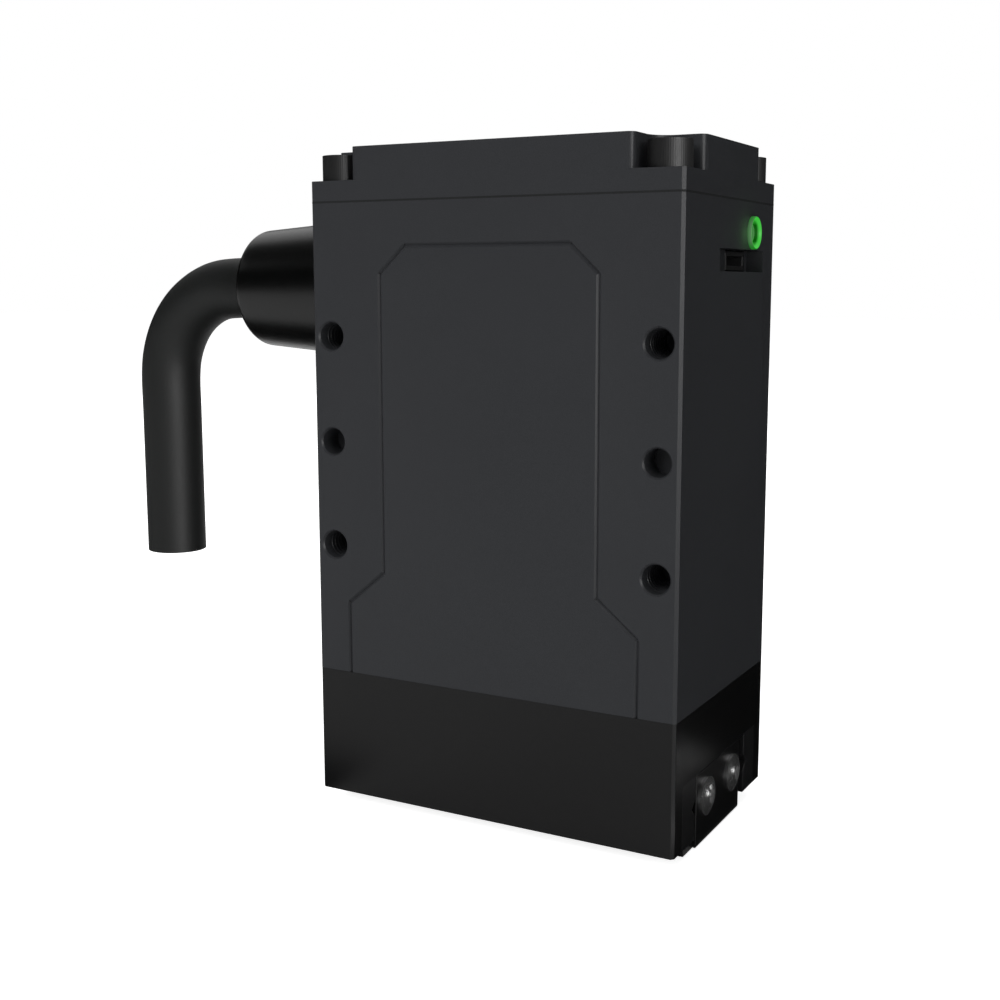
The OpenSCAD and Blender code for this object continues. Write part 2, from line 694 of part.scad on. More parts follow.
module housing() {
    color(graphite) difference() {
        translate([0, 0, housing_z]) linear_extrude(housing_h) chamfered(body_w, body_d, edge_chamfer);
        difference() {
            translate([0, 0, floor_z]) linear_extrude(housing_h)
                rounded(2 * cavity_x, 2 * cavity_y, cavity_r);
            for (y = [-1, 1], z = board_screw_zs)
                translate([board_x, y * board_screw_y, z])
                    rotate([0, 90, 0]) cylinder(d = board_boss_d, h = board_gap + cut_past);
        }
        panel_line();
        mount_holes(front_thread, front_dowel_d);
        other_side() mount_holes(back_thread, back_dowel_d);
        // gasket groove
        translate([0, 0, cover_z - gasket_t]) linear_extrude(gasket_t + cut_past)
            frame(2 * gasket_x, 2 * gasket_y, cavity_r + gasket_wall, gasket_w);
        // cover screws
        corners(cover_screw_x, cover_screw_y)
            translate([0, 0, cover_z - cover_screw_hold - tap_end])
                cylinder(r = tap_r(cover_thread), h = cover_screw_hold + tap_end + cut_past);
        // base screws and dowels, from below
        corners(base_screw_x, base_screw_y)
            translate([0, 0, housing_z - cut_past])
                cylinder(r = tap_r(base_screw_thread), h = base_screw_hold + tap_end + cut_past);
        for (s = [-1, 1]) translate([s * dowel_x, s * dowel_y, housing_z - cut_past])
            cylinder(d = dowel_d, h = dowel_l / 2 + cut_past + snug_gap);
        // gearbox screws, and the seat of the carrier bearing
        corners(gearbox_screw_x, gearbox_screw_y)
            translate([0, 0, floor_z - gearbox_screw_hold - tap_end])
                cylinder(r = tap_r(gearbox_thread), h = gearbox_screw_hold + tap_end + cut_past);
        translate([0, 0, housing_z - cut_past])
            cylinder(d = carrier_bearing_d + 2 * snug_gap, h = carrier_bearing_h + cut_past);
        translate([0, 0, housing_z]) cylinder(d = carrier_bearing_d - 2 * bearing_land, h = floor_t + cut_past);
        // board screws
        for (y = [-1, 1], z = board_screw_zs)
            translate([board_x - cut_past, y * board_screw_y, z])
                rotate([0, 90, 0])
                    cylinder(r = tap_r(board_screw_thread), h = board_screw_hold + tap_end + cut_past);
        // status light
        translate([cavity_x - cut_past, light_y, light_level])
            rotate([0, 90, 0]) cylinder(d = light_stem_d + 2 * snug_gap, h = body_w);
        // service port: the recess, and the window of its socket
        translate([body_w / 2 - port_depth, port_start_y, port_level - port_h / 2])
            cube([port_depth + cut_past, port_end_y - port_start_y, port_h]);
        translate([cavity_x - cut_past, socket_y - socket_w / 2 - socket_gap, port_level - port_h / 2])
            cube([body_w / 2 - cavity_x, socket_w + 2 * socket_gap, port_h]);
        // cable gland
        translate([-body_w / 2 - cut_past, 0, gland_level])
            rotate([0, 90, 0])
                cylinder(d = gland_thread_d + 2 * snug_gap, h = body_w / 2 - cavity_x + 2 * cut_past);
    }
}

module cover_screw_notch() {
    square([cover_notch, cover_notch - cover_notch_r]);
    square([cover_notch - cover_notch_r, cover_notch]);
    translate([cover_notch - cover_notch_r, cover_notch - cover_notch_r]) circle(cover_notch_r);
    // round the boss where the notch runs out
    for (flip = [0, 1]) mirror([flip, -flip])
        translate([cover_notch - touch, 0]) difference() {
            square(cover_edge_r);
            translate([cover_edge_r, cover_edge_r]) circle(cover_edge_r);
        }
}

module top_cover() {
    color(graphite) difference() {
        union() {
            translate([0, 0, cover_z]) linear_extrude(cover_flange_h) chamfered(body_w, body_d, edge_chamfer);
            translate([0, 0, boss_z]) linear_extrude(cover_boss_h) difference() {
                square([body_w, body_d], center = true);
                for (x = [0, 1], y = [0, 1]) mirror([x, 0]) mirror([0, y])
                    translate([-body_w / 2, -body_d / 2]) cover_screw_notch();
            }
            translate([0, 0, cover_z - cover_rim_h]) linear_extrude(cover_rim_h)
                frame(2 * (cavity_x - snug_gap), 2 * (cavity_y - snug_gap), cavity_r, cover_rim_t);
        }
        corners(cover_screw_x, cover_screw_y) translate([0, 0, cover_z - cut_past])
            cylinder(r = cover_thread / 2 + through_gap, h = cover_flange_h + 2 * cut_past);
    }
}

module cover_gasket() {
    color(black_rubber) translate([0, 0, cover_z - gasket_t]) linear_extrude(gasket_t)
        frame(2 * (gasket_x - snug_gap), 2 * (gasket_y - snug_gap),
              cavity_r + gasket_wall, gasket_w - 2 * snug_gap);
}

module cover_screws() {
    color(dark_steel) corners(cover_screw_x, cover_screw_y) translate([0, 0, boss_z])
        cap_screw(cover_thread, cover_head_d, cover_head_h, cover_flange_h, cover_screw_hold);
}

// ---- base and guide ----

module base() {
    color(black_coat) difference() {
        translate([0, 0, base_z]) linear_extrude(base_h) chamfered(body_w, body_d, edge_chamfer);
        // slot for the rails and the jaws
        translate([-body_w / 2 - cut_past, -rail_gap_half - rail_t, base_z - cut_past])
            cube([body_w + 2 * cut_past, 2 * (rail_gap_half + rail_t), slot_h + cut_past]);
        // rack chamber
        translate([-chamber_x, -chamber_y, slot_top - cut_past])
            cube([2 * chamber_x, 2 * chamber_y, chamber_top - slot_top + cut_past]);
        // pinion bearing and shaft
        translate([0, 0, housing_z - pinion_bearing_h])
            cylinder(d = pinion_bearing_d + 2 * snug_gap, h = pinion_bearing_h + cut_past);
        translate([0, 0, slot_top]) cylinder(d = pinion_bearing_d - 2, h = base_h);
        translate([0, 0, housing_z - bearing_relief])
            cylinder(d = bearing_relief_d, h = bearing_relief + cut_past);
        // screws up into the housing
        corners(base_screw_x, base_screw_y) {
            translate([0, 0, slot_top - cut_past])
                cylinder(d = base_head_d + free_gap, h = base_screw_sink + cut_past);
            translate([0, 0, slot_top]) cylinder(d = base_screw_thread + 2 * through_gap, h = base_h);
        }
        for (s = [-1, 1]) translate([s * dowel_x, s * dowel_y, housing_z - dowel_l / 2 - snug_gap])
            cylinder(d = dowel_d, h = dowel_l);
        // rail screws
        for (x = [-1:1], y = [-1, 1])
            translate([x * rail_screw_x, y * rail_screw_y, slot_top - cut_past])
                cylinder(r = tap_r(rail_thread), h = rail_screw_hold + tap_end + cut_past);
    }
}

module base_screws() {
    color(dark_steel) corners(base_screw_x, base_screw_y)
        translate([0, 0, slot_top + base_screw_sink]) rotate([180, 0, 0])
            cap_screw(base_screw_thread, base_head_d, base_head_h,
                      base_h - slot_h - base_screw_sink, base_screw_hold);
}

module dowel_pins() {
    color(steel) for (s = [-1, 1])
        translate([s * dowel_x, s * dowel_y, housing_z - dowel_l / 2])
            cylinder(d = dowel_d - 2 * snug_gap, h = dowel_l);
}

// A square bar on edge, which cuts the V groove that the rollers run in
module groove_cut(y) {
    translate([0, y, roller_z]) rotate([45, 0, 0])
        cube([body_w + 2 * cut_past, roller_d, roller_d], center = true);
}

module back_rail() {
    color(dark_steel) difference() {
        translate([-body_w / 2, rail_gap_half, base_z]) cube([body_w, rail_t, slot_h]);
        groove_cut(roller_y);
        for (x = [-1:1]) translate([x * rail_screw_x, rail_screw_y, base_z - cut_past]) {
            cylinder(d = rail_thread + 2 * through_gap, h = slot_h + 2 * cut_past);
            cylinder(d = rail_head_d + free_gap, h = rail_sink + cut_past);
        }
    }
}

module front_rail() {
    other_side() back_rail();
}

module rail_screws() {
    color(dark_steel) for (x = [-1:1], y = [-1, 1])
        translate([x * rail_screw_x, y * rail_screw_y, base_z + rail_sink]) rotate([180, 0, 0])
            cap_screw(rail_thread, rail_head_d, rail_head_h, slot_h - rail_sink, rail_screw_hold);
}

// One row of crossed rollers on the right jaw's back side, every other one turned
module roller_row() {
    for (i = [0:roller_count - 1])
        translate([roller_start + i * roller_pitch, roller_y, roller_z])
            rotate([i % 2 == 0 ? 45 : -45, 0, 0])
                cylinder(d = roller_d - 2 * running_gap, h = roller_l, center = true);
}

module cage_strip() {
    difference() {
        translate([cage_start, roller_y - cage_t / 2, roller_z - cage_h / 2])
            cube([cage_l, cage_t, cage_h]);
        for (i = [0:roller_count - 1])
            translate([roller_start + i * roller_pitch, roller_y, roller_z])
                cube([roller_d + 2 * through_gap, 2 * cage_t, 2 * groove_reach + through_gap], center = true);
    }
}

module right_cages() {
    color(brass) for (f = [0, 1]) mirror([0, f, 0]) cage_strip();
}

module left_cages() {
    other_side() right_cages();
}

module right_rollers() {
    color(steel) for (f = [0, 1]) mirror([0, f, 0]) roller_row();
}

module left_rollers() {
    other_side() right_rollers();
}

// ---- jaws ----

module right_jaw() {
    color(black_coat) difference() {
        union() {
            translate([jaw_meet_gap, -jaw_half_w, 0])
                cube([jaw_end_x - jaw_meet_gap, 2 * jaw_half_w, jaw_top]);
            translate([jaw_meet_gap, -jaw_half_w - lip_reach, 0])
                cube([jaw_end_x - jaw_meet_gap, lip_reach + cut_past, lip_t]);
        }
        groove_cut(roller_y);
        groove_cut(-roller_y);
        // finger screws and dowel
        translate([finger_mid_x, 0, 0]) {
            corners(finger_pitch_x / 2, finger_pitch_y / 2)
                translate([0, 0, -cut_past]) cylinder(r = tap_r(finger_thread), h = finger_depth + cut_past);
            translate([0, 0, -cut_past]) cylinder(d = finger_dowel_d, h = finger_depth + cut_past);
        }
        // stop plate screws
        for (y = [-1, 1])
            translate([jaw_end_x - plate_screw_hold - tap_end, y * plate_screw_pitch / 2, plate_screw_level])
                rotate([0, 90, 0])
                    cylinder(r = tap_r(finger_thread), h = plate_screw_hold + tap_end + cut_past);
        // rack screws
        for (x = rack_screw_xs) translate([x, rack_screw_y, jaw_top - rack_screw_hold - tap_end])
            cylinder(r = tap_r(rack_thread), h = rack_screw_hold + tap_end + cut_past);
    }
}

module left_jaw() {
    other_side() right_jaw();
}

module right_end_plate() {
    color(black_coat) difference() {
        translate([jaw_end_x, -plate_w / 2, 0]) cube([plate_t, plate_w, jaw_top]);
        for (y = [-1, 1]) translate([jaw_end_x - cut_past, y * plate_screw_pitch / 2, plate_screw_level])
            rotate([0, 90, 0]) cylinder(d = finger_thread + 2 * through_gap, h = plate_t + 2 * cut_past);
    }
}

module left_end_plate() {
    other_side() right_end_plate();
}

module right_end_screws() {
    color(steel) for (y = [-1, 1])
        translate([plate_face_x, y * plate_screw_pitch / 2, plate_screw_level]) rotate([0, 90, 0])
            button_screw(finger_thread, plate_head_d, plate_head_h, plate_head_side, plate_t, plate_screw_hold);
}

module left_end_screws() {
    other_side() right_end_screws();
}

// Rack of the right jaw: it lies in front of the pinion, with its teeth facing back
module rack_teeth() {
    half = rack_pitch / 4 - backlash / 2;
    slope = tan(pressure_angle);
    add = tooth_add * pinion_module;
    ded = tooth_ded * pinion_module;
    for (i = [-rack_far_teeth:rack_near_teeth - 1]) translate([(i + 0.5) * rack_pitch, -pinion_r])
        polygon([
            [-half - ded * slope, -ded - touch], [half + ded * slope, -ded - touch],
            [half - add * slope, add], [-half + add * slope, add]
        ]);
}

module right_rack() {
    far_x = -(rack_far_teeth + 0.4) * rack_pitch;
    color(dark_steel) difference() {
        union() {
            translate([0, 0, rack_z]) linear_extrude(rack_h) {
                rack_teeth();
                translate([far_x, -jaw_half_w])
                    square([rack_foot_end - far_x, jaw_half_w - pinion_r - tooth_ded * pinion_module]);
            }
            translate([rack_foot_start, -jaw_half_w, jaw_top])
                cube([rack_foot_end - rack_foot_start, jaw_half_w + rack_foot_back, rack_foot_t]);
        }
        for (x = rack_screw_xs) translate([x, rack_screw_y, jaw_top - cut_past])
            cylinder(d = rack_thread + 2 * through_gap, h = rack_foot_t + 2 * cut_past);
        // room for the screw heads in the rack's side
        for (x = rack_screw_xs) translate([x, rack_screw_y, jaw_top + rack_foot_t])
            cylinder(d = rack_head_d + free_gap, h = rack_h + cut_past);
    }
}

module left_rack() {
    other_side() right_rack();
}

module right_rack_screws() {
    color(dark_steel) for (x = rack_screw_xs) translate([x, rack_screw_y, jaw_top + rack_foot_t])
        cap_screw(rack_thread, rack_head_d, rack_head_h, rack_foot_t, rack_screw_hold);
}

module left_rack_screws() {
    other_side() right_rack_screws();
}

// ---- drive ----

module drive_pinion() {
    color(steel) {
        translate([0, 0, pinion_z]) linear_extrude(pinion_h)
            polygon(gear_outline(pinion_teeth, pinion_module, tooth_add, tooth_ded, -backlash));
        translate([0, 0, pinion_z])
            cylinder(d = pinion_shaft_d - 2 * snug_gap, h = pinion_top - pinion_z);
    }
}

module pinion_bearing() {
    color(steel) translate([0, 0, housing_z - pinion_bearing_h])
        ball_bearing(pinion_shaft_d, pinion_bearing_d, pinion_bearing_h);
}

module carrier_bearing() {
    color(steel) translate([0, 0, housing_z])
        ball_bearing(carrier_hub_d, carrier_bearing_d, carrier_bearing_h);
}

module planet_places() {
    for (i = [0:planets - 1]) rotate([0, 0, 360 * i / planets]) translate([planet_orbit, 0, 0]) children();
}

module planet_carrier() {
    color(dark_steel) difference() {
        union() {
            translate([0, 0, housing_z + bearing_relief])
                cylinder(d = carrier_hub_d - 2 * running_gap, h = carrier_z - housing_z);
            translate([0, 0, carrier_z]) cylinder(r = planet_orbit + carrier_rim, h = carrier_t);
        }
        translate([0, 0, housing_z - cut_past]) cylinder(d = pinion_shaft_d, h = base_h);
        planet_places() translate([0, 0, carrier_z - cut_past])
            cylinder(d = planet_pin_d, h = carrier_t + 2 * cut_past);
    }
}

module planet_pins() {
    color(steel) planet_places() {
        translate([0, 0, carrier_z])
            cylinder(d = planet_pin_d - 2 * snug_gap, h = carrier_t + 2 * free_gap + gear_face);
        translate([0, 0, gears_z + gear_face + free_gap]) cylinder(d = pin_collar_d, h = pin_collar_h);
    }
}

// Planet n, with a gap between two teeth towards the sun
module planet_gear(n) {
    color(steel) rotate([0, 0, 360 * n / planets]) translate([planet_orbit, 0, gears_z]) difference() {
        linear_extrude(gear_face) rotate(180 / sun_teeth)
            polygon(gear_outline(sun_teeth, gear_module, tooth_add, tooth_ded, -backlash / 2));
        translate([0, 0, -cut_past]) cylinder(d = planet_pin_d + 2 * running_gap, h = gear_face + 2 * cut_past);
    }
}

module planet_gear_1() { planet_gear(0); }
module planet_gear_2() { planet_gear(1); }
module planet_gear_3() { planet_gear(2); }

module sun_gear() {
    color(steel) translate([0, 0, gears_z]) difference() {
        linear_extrude(gear_face)
            polygon(gear_outline(sun_teeth, gear_module, tooth_add, tooth_ded, -backlash / 2));
        translate([0, 0, -cut_past]) cylinder(d = motor_shaft_d, h = gear_face + 2 * cut_past);
    }
}

module ring_gear() {
    color(dark_steel) translate([0, 0, floor_z]) difference() {
        linear_extrude(gearbox_h) rounded(2 * gearbox_x, 2 * gearbox_y, block_r);
        translate([0, 0, -cut_past]) linear_extrude(gearbox_h + 2 * cut_past) rotate(180 / ring_teeth)
            polygon(gear_outline(ring_teeth, gear_module, tooth_ded, tooth_add, backlash / 2, 3));
        corners(gearbox_screw_x, gearbox_screw_y) translate([0, 0, -cut_past])
            cylinder(d = gearbox_thread + 2 * through_gap, h = gearbox_h + 2 * cut_past);
    }
}

module gearbox_screws() {
    color(dark_steel) corners(gearbox_screw_x, gearbox_screw_y) translate([0, 0, can_z])
        cap_screw(gearbox_thread, gearbox_head_d, gearbox_head_h,
                  front_cap_t + gearbox_h, gearbox_screw_hold);
}

module motor_front_cap() {
    color(dark_steel) translate([0, 0, gearbox_top]) difference() {
        linear_extrude(front_cap_t) rounded(2 * gearbox_x, 2 * gearbox_y, block_r);
        translate([0, 0, front_cap_t - motor_bearing_h])
            cylinder(d = motor_bearing_d + 2 * snug_gap, h = front_cap_t);
        translate([0, 0, -cut_past]) cylinder(d = cap_hole_d, h = front_cap_t + 2 * cut_past);
        corners(gearbox_screw_x, gearbox_screw_y) translate([0, 0, -cut_past])
            cylinder(d = gearbox_thread + 2 * through_gap, h = front_cap_t + 2 * cut_past);
    }
}

module motor_can() {
    color(dark_steel) translate([0, 0, can_z]) difference() {
        cylinder(d = motor_d, h = motor_l);
        translate([0, 0, -cut_past]) cylinder(d = motor_d - 2 * can_t, h = motor_l + 2 * cut_past);
    }
}

module motor_rear_cap() {
    color(black_coat) translate([0, 0, rear_z]) difference() {
        cylinder(d = motor_d, h = rear_cap_t);
        translate([0, 0, -cut_past])
            cylinder(d = motor_bearing_d + 2 * snug_gap, h = motor_bearing_h + cut_past);
        cylinder(d = cap_hole_d, h = rear_cap_t + cut_past);
    }
}

module motor_bearings() {
    color(steel) for (z = [can_z - motor_bearing_h, rear_z])
        translate([0, 0, z]) ball_bearing(motor_shaft_d, motor_bearing_d, motor_bearing_h);
}

module stator_core() {
    color(dark_steel) translate([0, 0, can_z + stator_end]) linear_extrude(motor_l - 2 * stator_end)
        difference() {
            circle(stator_r);
            circle(stator_bore_r);
            for (i = [0:stator_slots - 1]) rotate(360 * (i + 0.5) / stator_slots) {
                translate([stator_slot_r, 0]) circle(d = stator_slot_d);
                translate([stator_bore_r - cut_past, -stator_slot_mouth / 2])
                    square([stator_slot_r - stator_bore_r + cut_past, stator_slot_mouth]);
            }
        }
}

module stator_windings() {
    winding_l = motor_l - 2 * winding_inset;
    winding_r = stator_slot_d / 2 - winding_gap;
    color(copper) translate([0, 0, can_z + winding_inset]) {
        for (i = [0:stator_slots - 1]) rotate([0, 0, 360 * (i + 0.5) / stator_slots])
            translate([stator_slot_r, 0, 0]) cylinder(r = winding_r, h = winding_l);
        for (z = [0, winding_l - winding_end_h]) translate([0, 0, z]) difference() {
            cylinder(r = stator_slot_r + winding_r + winding_wrap, h = winding_end_h);
            translate([0, 0, -cut_past])
                cylinder(r = stator_slot_r - winding_r - winding_wrap, h = winding_end_h + 2 * cut_past);
        }
    }
}

module rotor_shaft() {
    color(steel) translate([0, 0, gears_z])
        cylinder(d = motor_shaft_d - 2 * snug_gap, h = shaft_top - gears_z);
}

module rotor_magnet() {
    color(dark_steel) translate([0, 0, can_z + stator_end - rotor_past]) difference() {
        cylinder(d = rotor_d, h = motor_l - 2 * stator_end + 2 * rotor_past);
        translate([0, 0, -cut_past]) cylinder(d = motor_shaft_d, h = motor_l);
    }
}

module encoder_magnet() {
    color(steel) translate([0, 0, shaft_top]) cylinder(d = encoder_magnet_d, h = encoder_magnet_h);
}

module encoder_posts() {
    color(brass) for (i = [0:2]) rotate([0, 0, 60 + 120 * i]) translate([encoder_post_r, 0, rear_top])
        cylinder(d = encoder_post_d, h = encoder_z - rear_top);
}

module encoder_board() {
    color(board_green) translate([0, 0, encoder_z]) cylinder(d = encoder_board_d, h = encoder_board_t);
}

// ---- electronics ----

module controller_board() {
    color(board_green) difference() {
        translate([board_face, -board_w / 2, board_z]) cube([board_t, board_w, board_h]);
        for (y = [-1, 1], z = board_screw_zs)
            translate([board_face - cut_past, y * board_screw_y, z]) rotate([0, 90, 0])
                cylinder(d = board_screw_thread + 2 * through_gap, h = board_t + 2 * cut_past);
    }
}

// A chip on the board's inner face, w wide, h high and t thick
module chip(y, z, w, h, t) {
    translate([board_face - t, y - w / 2, board_z + z - h / 2]) cube([t, w, h]);
}

// Chips, capacitors and the lead header, all on the board's inner face
module board_components() {
    color(chip_black) {
        chip(0, main_chip_z, main_chip_w, main_chip_w, chip_t);
        for (i = [-1:1]) chip(i * driver_pitch, driver_z, driver_w, driver_h, chip_t);
        chip(-capacitor_y, main_chip_z, driver_w, driver_h, chip_t);
        for (y = [capacitor_y, capacitor_y + capacitor_pitch])
            translate([board_face, y, board_z + main_chip_z])
                rotate([0, -90, 0]) cylinder(d = capacitor_d, h = capacitor_h);
        translate([board_face - header_depth, -header_w / 2, header_z - header_h / 2])
            cube([header_depth, header_w, header_h]);
    }
}

module board_screws() {
    color(steel) for (y = [-1, 1], z = board_screw_zs)
        translate([board_face, y * board_screw_y, z]) rotate([0, -90, 0])
            cap_screw(board_screw_thread, board_head_d, board_head_h, board_t, board_screw_hold);
}

module light_pipe() {
    color(pipe_grey) translate([board_x + free_gap, light_y, light_level]) rotate([0, 90, 0])
        cylinder(d = light_stem_d, h = body_w / 2 + light_proud - light_sunk - board_x - free_gap);
}

module light_ring() {
    color(light_green) translate([body_w / 2, light_y, light_level]) rotate([0, 90, 0]) difference() {
        cylinder(d = light_d, h = light_proud);
        translate([0, 0, -cut_past]) cylinder(d = light_stem_d + 2 * snug_gap, h = light_proud + 2 * cut_past);
    }
}

module port_socket() {
    color(chip_black) difference() {
        translate([board_x, socket_y - socket_w / 2, port_level - port_h / 2 + socket_gap])
            cube([body_w / 2 - port_depth - board_x, socket_w, port_h - 2 * socket_gap]);
        translate([body_w / 2 - port_depth - socket_bore, socket_y - socket_w / 2 + socket_wall,
                   port_level - socket_mouth_h / 2])
            cube([socket_bore + cut_past, socket_w - 2 * socket_wall, socket_mouth_h]);
    }
}

// ---- cable ----

module gland_axis() {
    translate([-body_w / 2, 0, gland_level]) rotate([0, -90, 0]) children();
}

module cable_gland() {
    color(black_rubber) gland_axis() difference() {
        union() {
            rotate_extrude() polygon([
                [0, gland_seal_t], [gland_root_d / 2, gland_seal_t],
                [gland_end_d / 2, gland_l - gland_edge], [gland_end_d / 2 - gland_edge, gland_l], [0, gland_l]
            ]);
            translate([0, 0, gland_inner])
                cylinder(d = gland_thread_d - 2 * snug_gap, h = gland_seal_t + cut_past - gland_inner);
        }
        translate([0, 0, -body_w]) cylinder(d = cable_d + 2 * snug_gap, h = 2 * body_w);
    }
}

module gland_seal() {
    color(black_rubber) gland_axis() difference() {
        cylinder(d = gland_root_d + 0.4, h = gland_seal_t);
        translate([0, 0, -cut_past]) cylinder(d = gland_thread_d, h = gland_seal_t + 2 * cut_past);
    }
}

module gland_nut() {
    color(black_coat) gland_axis() translate([0, 0, gland_inner]) difference() {
        cylinder(d = gland_nut_w / cos(30), h = gland_nut_t, $fn = 6);
        translate([0, 0, -cut_past]) cylinder(d = gland_thread_d, h = gland_nut_t + 2 * cut_past);
    }
}

module cable_jacket() {
    color(black_rubber) tube([for (p = cable_route) [p[0], 0, p[1]]], cable_d / 2, 12);
}

// Leads from the cable's inner end, over the encoder, to the header on the board
module core_leads() {
    color(lead_red) for (i = [0:leads - 1]) {
        a = 360 * (i + 0.5) / leads;
        y0 = lead_ring_r * cos(a);
        z0 = lead_ring_r * sin(a);
        y1 = lead_spread * y0 + sign(z0);
        tube([
            [cable_end_x, y0, gland_level + z0],
            [cable_end_x + lead_straight, y0, gland_level + z0],
            [-encoder_board_d / 2 - lead_side, (y0 + y1) / 2, lead_pass_z + z0 / 2 - lead_sag],
            [-lead_crest_x, y1, lead_pass_z],
            [lead_crest_x, y1, lead_pass_z - lead_sag],
            [board_face - header_depth - lead_straight, y1, gland_level],
            [board_face - header_depth, y1, gland_level]
        ], lead_d / 2, 8);
    }
}

housing();
top_cover();
cover_gasket();
cover_screws();
base();
base_screws();
dowel_pins();
front_rail();
back_rail();
rail_screws();
right_jaw();
left_jaw();
right_end_plate();
left_end_plate();
right_end_screws();
left_end_screws();
right_rack();
left_rack();
right_rack_screws();
left_rack_screws();
right_cages();
left_cages();
right_rollers();
left_rollers();
drive_pinion();
pinion_bearing();
carrier_bearing();
planet_carrier();
planet_pins();
planet_gear_1();
planet_gear_2();
planet_gear_3();
sun_gear();
ring_gear();
gearbox_screws();
motor_front_cap();
motor_can();
motor_rear_cap();
stator_core();
stator_windings();
rotor_shaft();
rotor_magnet();
motor_bearings();
encoder_magnet();
encoder_board();
encoder_posts();
controller_board();
board_components();
board_screws();
light_pipe();
light_ring();
port_socket();
cable_gland();
gland_seal();
gland_nut();
cable_jacket();
core_leads();
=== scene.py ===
import json
import math

import bmesh
import bpy
from mathutils import Matrix, Vector

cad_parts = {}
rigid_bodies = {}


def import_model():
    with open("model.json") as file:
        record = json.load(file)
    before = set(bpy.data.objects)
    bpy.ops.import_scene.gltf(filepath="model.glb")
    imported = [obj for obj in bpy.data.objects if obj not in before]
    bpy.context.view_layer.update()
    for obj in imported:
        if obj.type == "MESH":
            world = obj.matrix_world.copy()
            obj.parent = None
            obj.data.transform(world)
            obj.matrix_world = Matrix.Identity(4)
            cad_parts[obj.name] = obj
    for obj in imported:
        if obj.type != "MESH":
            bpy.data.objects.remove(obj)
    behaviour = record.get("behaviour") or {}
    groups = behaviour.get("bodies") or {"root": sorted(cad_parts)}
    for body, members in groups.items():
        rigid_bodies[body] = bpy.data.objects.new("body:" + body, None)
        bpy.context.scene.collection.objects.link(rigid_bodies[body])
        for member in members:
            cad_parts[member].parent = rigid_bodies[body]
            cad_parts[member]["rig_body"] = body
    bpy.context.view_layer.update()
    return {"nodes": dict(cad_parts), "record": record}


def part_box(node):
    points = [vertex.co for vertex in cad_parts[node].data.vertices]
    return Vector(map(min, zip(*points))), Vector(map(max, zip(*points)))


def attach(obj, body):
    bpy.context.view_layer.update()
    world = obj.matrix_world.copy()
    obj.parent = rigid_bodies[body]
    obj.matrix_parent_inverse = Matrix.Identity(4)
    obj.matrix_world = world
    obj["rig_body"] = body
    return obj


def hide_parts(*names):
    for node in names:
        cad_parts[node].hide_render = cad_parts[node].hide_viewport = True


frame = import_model()

MM = 0.001
scene = bpy.context.scene
nodes = frame["nodes"]
body_of_node = {n: o["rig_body"] for n, o in nodes.items()}
STATIC = body_of_node["housing"]


# Sizes of the part that several pieces share, in millimetres
HALF_W = 30.0               # half the body's width, along the jaw travel
HALF_D = 18.65              # half the body's depth
SEAM_Z = 93.3               # middle of the seam between cover and housing
LIGHT_AT = (0, 8.6, 88.8)   # a point on the status light's axis
CABLE_Z = 80.5              # level of the gland's axis
CABLE_D = 10.3              # diameter of the cable


# ---------------------------------------------------------------- camera

def make_camera():
    at = Vector((0.09575, -0.18505, 0.08117))
    look = Vector((-0.46385, 0.87406, -0.14444)).normalized()
    roll = math.radians(-0.091)
    right = look.cross(Vector((0, 0, 1))).normalized()
    up = right.cross(look)
    tilt = Matrix.Rotation(roll, 3, look)
    right, up = tilt @ right, tilt @ up
    data = bpy.data.cameras.new("camera")
    data.sensor_width = 36
    data.lens = 48.483
    data.shift_x = -0.0305
    data.shift_y = -0.0186
    data.clip_start = 0.01
    data.clip_end = 20
    cam = bpy.data.objects.new("camera", data)
    basis = Matrix((right, up, -look)).transposed().to_4x4()
    cam.matrix_world = Matrix.Translation(at) @ basis
    scene.collection.objects.link(cam)
    scene.camera = cam


make_camera()


# ---------------------------------------------------------------- nodes

def plug(tree, value, socket):
    """Links a socket to another, or gives it a plain value."""
    if isinstance(value, bpy.types.NodeSocket):
        tree.links.new(value, socket)
    else:
        socket.default_value = value


def add(tree, kind, **settings):
    """A new node, with values or links for its sockets and plain settings by name."""
    node = tree.nodes.new(kind)
    for key, value in settings.items():
        if key in node.inputs:
            plug(tree, value, node.inputs[key])
        else:
            setattr(node, key, value)
    return node


def calc(tree, operation, *values):
    """The result of a math node on numbers and sockets."""
    node = tree.nodes.new("ShaderNodeMath")
    node.operation = operation
    for value, socket in zip(values, node.inputs):
        plug(tree, value, socket)
    return node.outputs[0]


def vector_calc(tree, operation, *values):
    """A vector math node on vectors and sockets."""
    node = add(tree, "ShaderNodeVectorMath", operation=operation)
    for value, socket in zip(values, node.inputs):
        plug(tree, value, socket)
    return node


# ---------------------------------------------------------------- shader groups

def finish_group(name, inputs):
    """A shader node group with the inputs of every finish and its own (name, kind, default)."""
    tree = bpy.data.node_groups.new(name, "ShaderNodeTree")
    shared = [
        ("Colour", "Color", (0.05, 0.05, 0.05, 1)),
        ("Colour spread", "Float", 0.1),
        ("Roughness", "Float", 0.45),
        ("Roughness spread", "Float", 0.08),
    ]
    for label, kind, value in shared + inputs:
        sock = tree.interface.new_socket(label, in_out="INPUT", socket_type="NodeSocket" + kind)
        sock.default_value = value
    for label, kind in (("Colour", "Color"), ("Roughness", "Float"), ("Normal", "Vector")):
        tree.interface.new_socket(label, in_out="OUTPUT", socket_type="NodeSocket" + kind)
    sizes = tree.nodes.new("NodeGroupInput").outputs
    return tree, sizes, tree.nodes.new("NodeGroupOutput").inputs


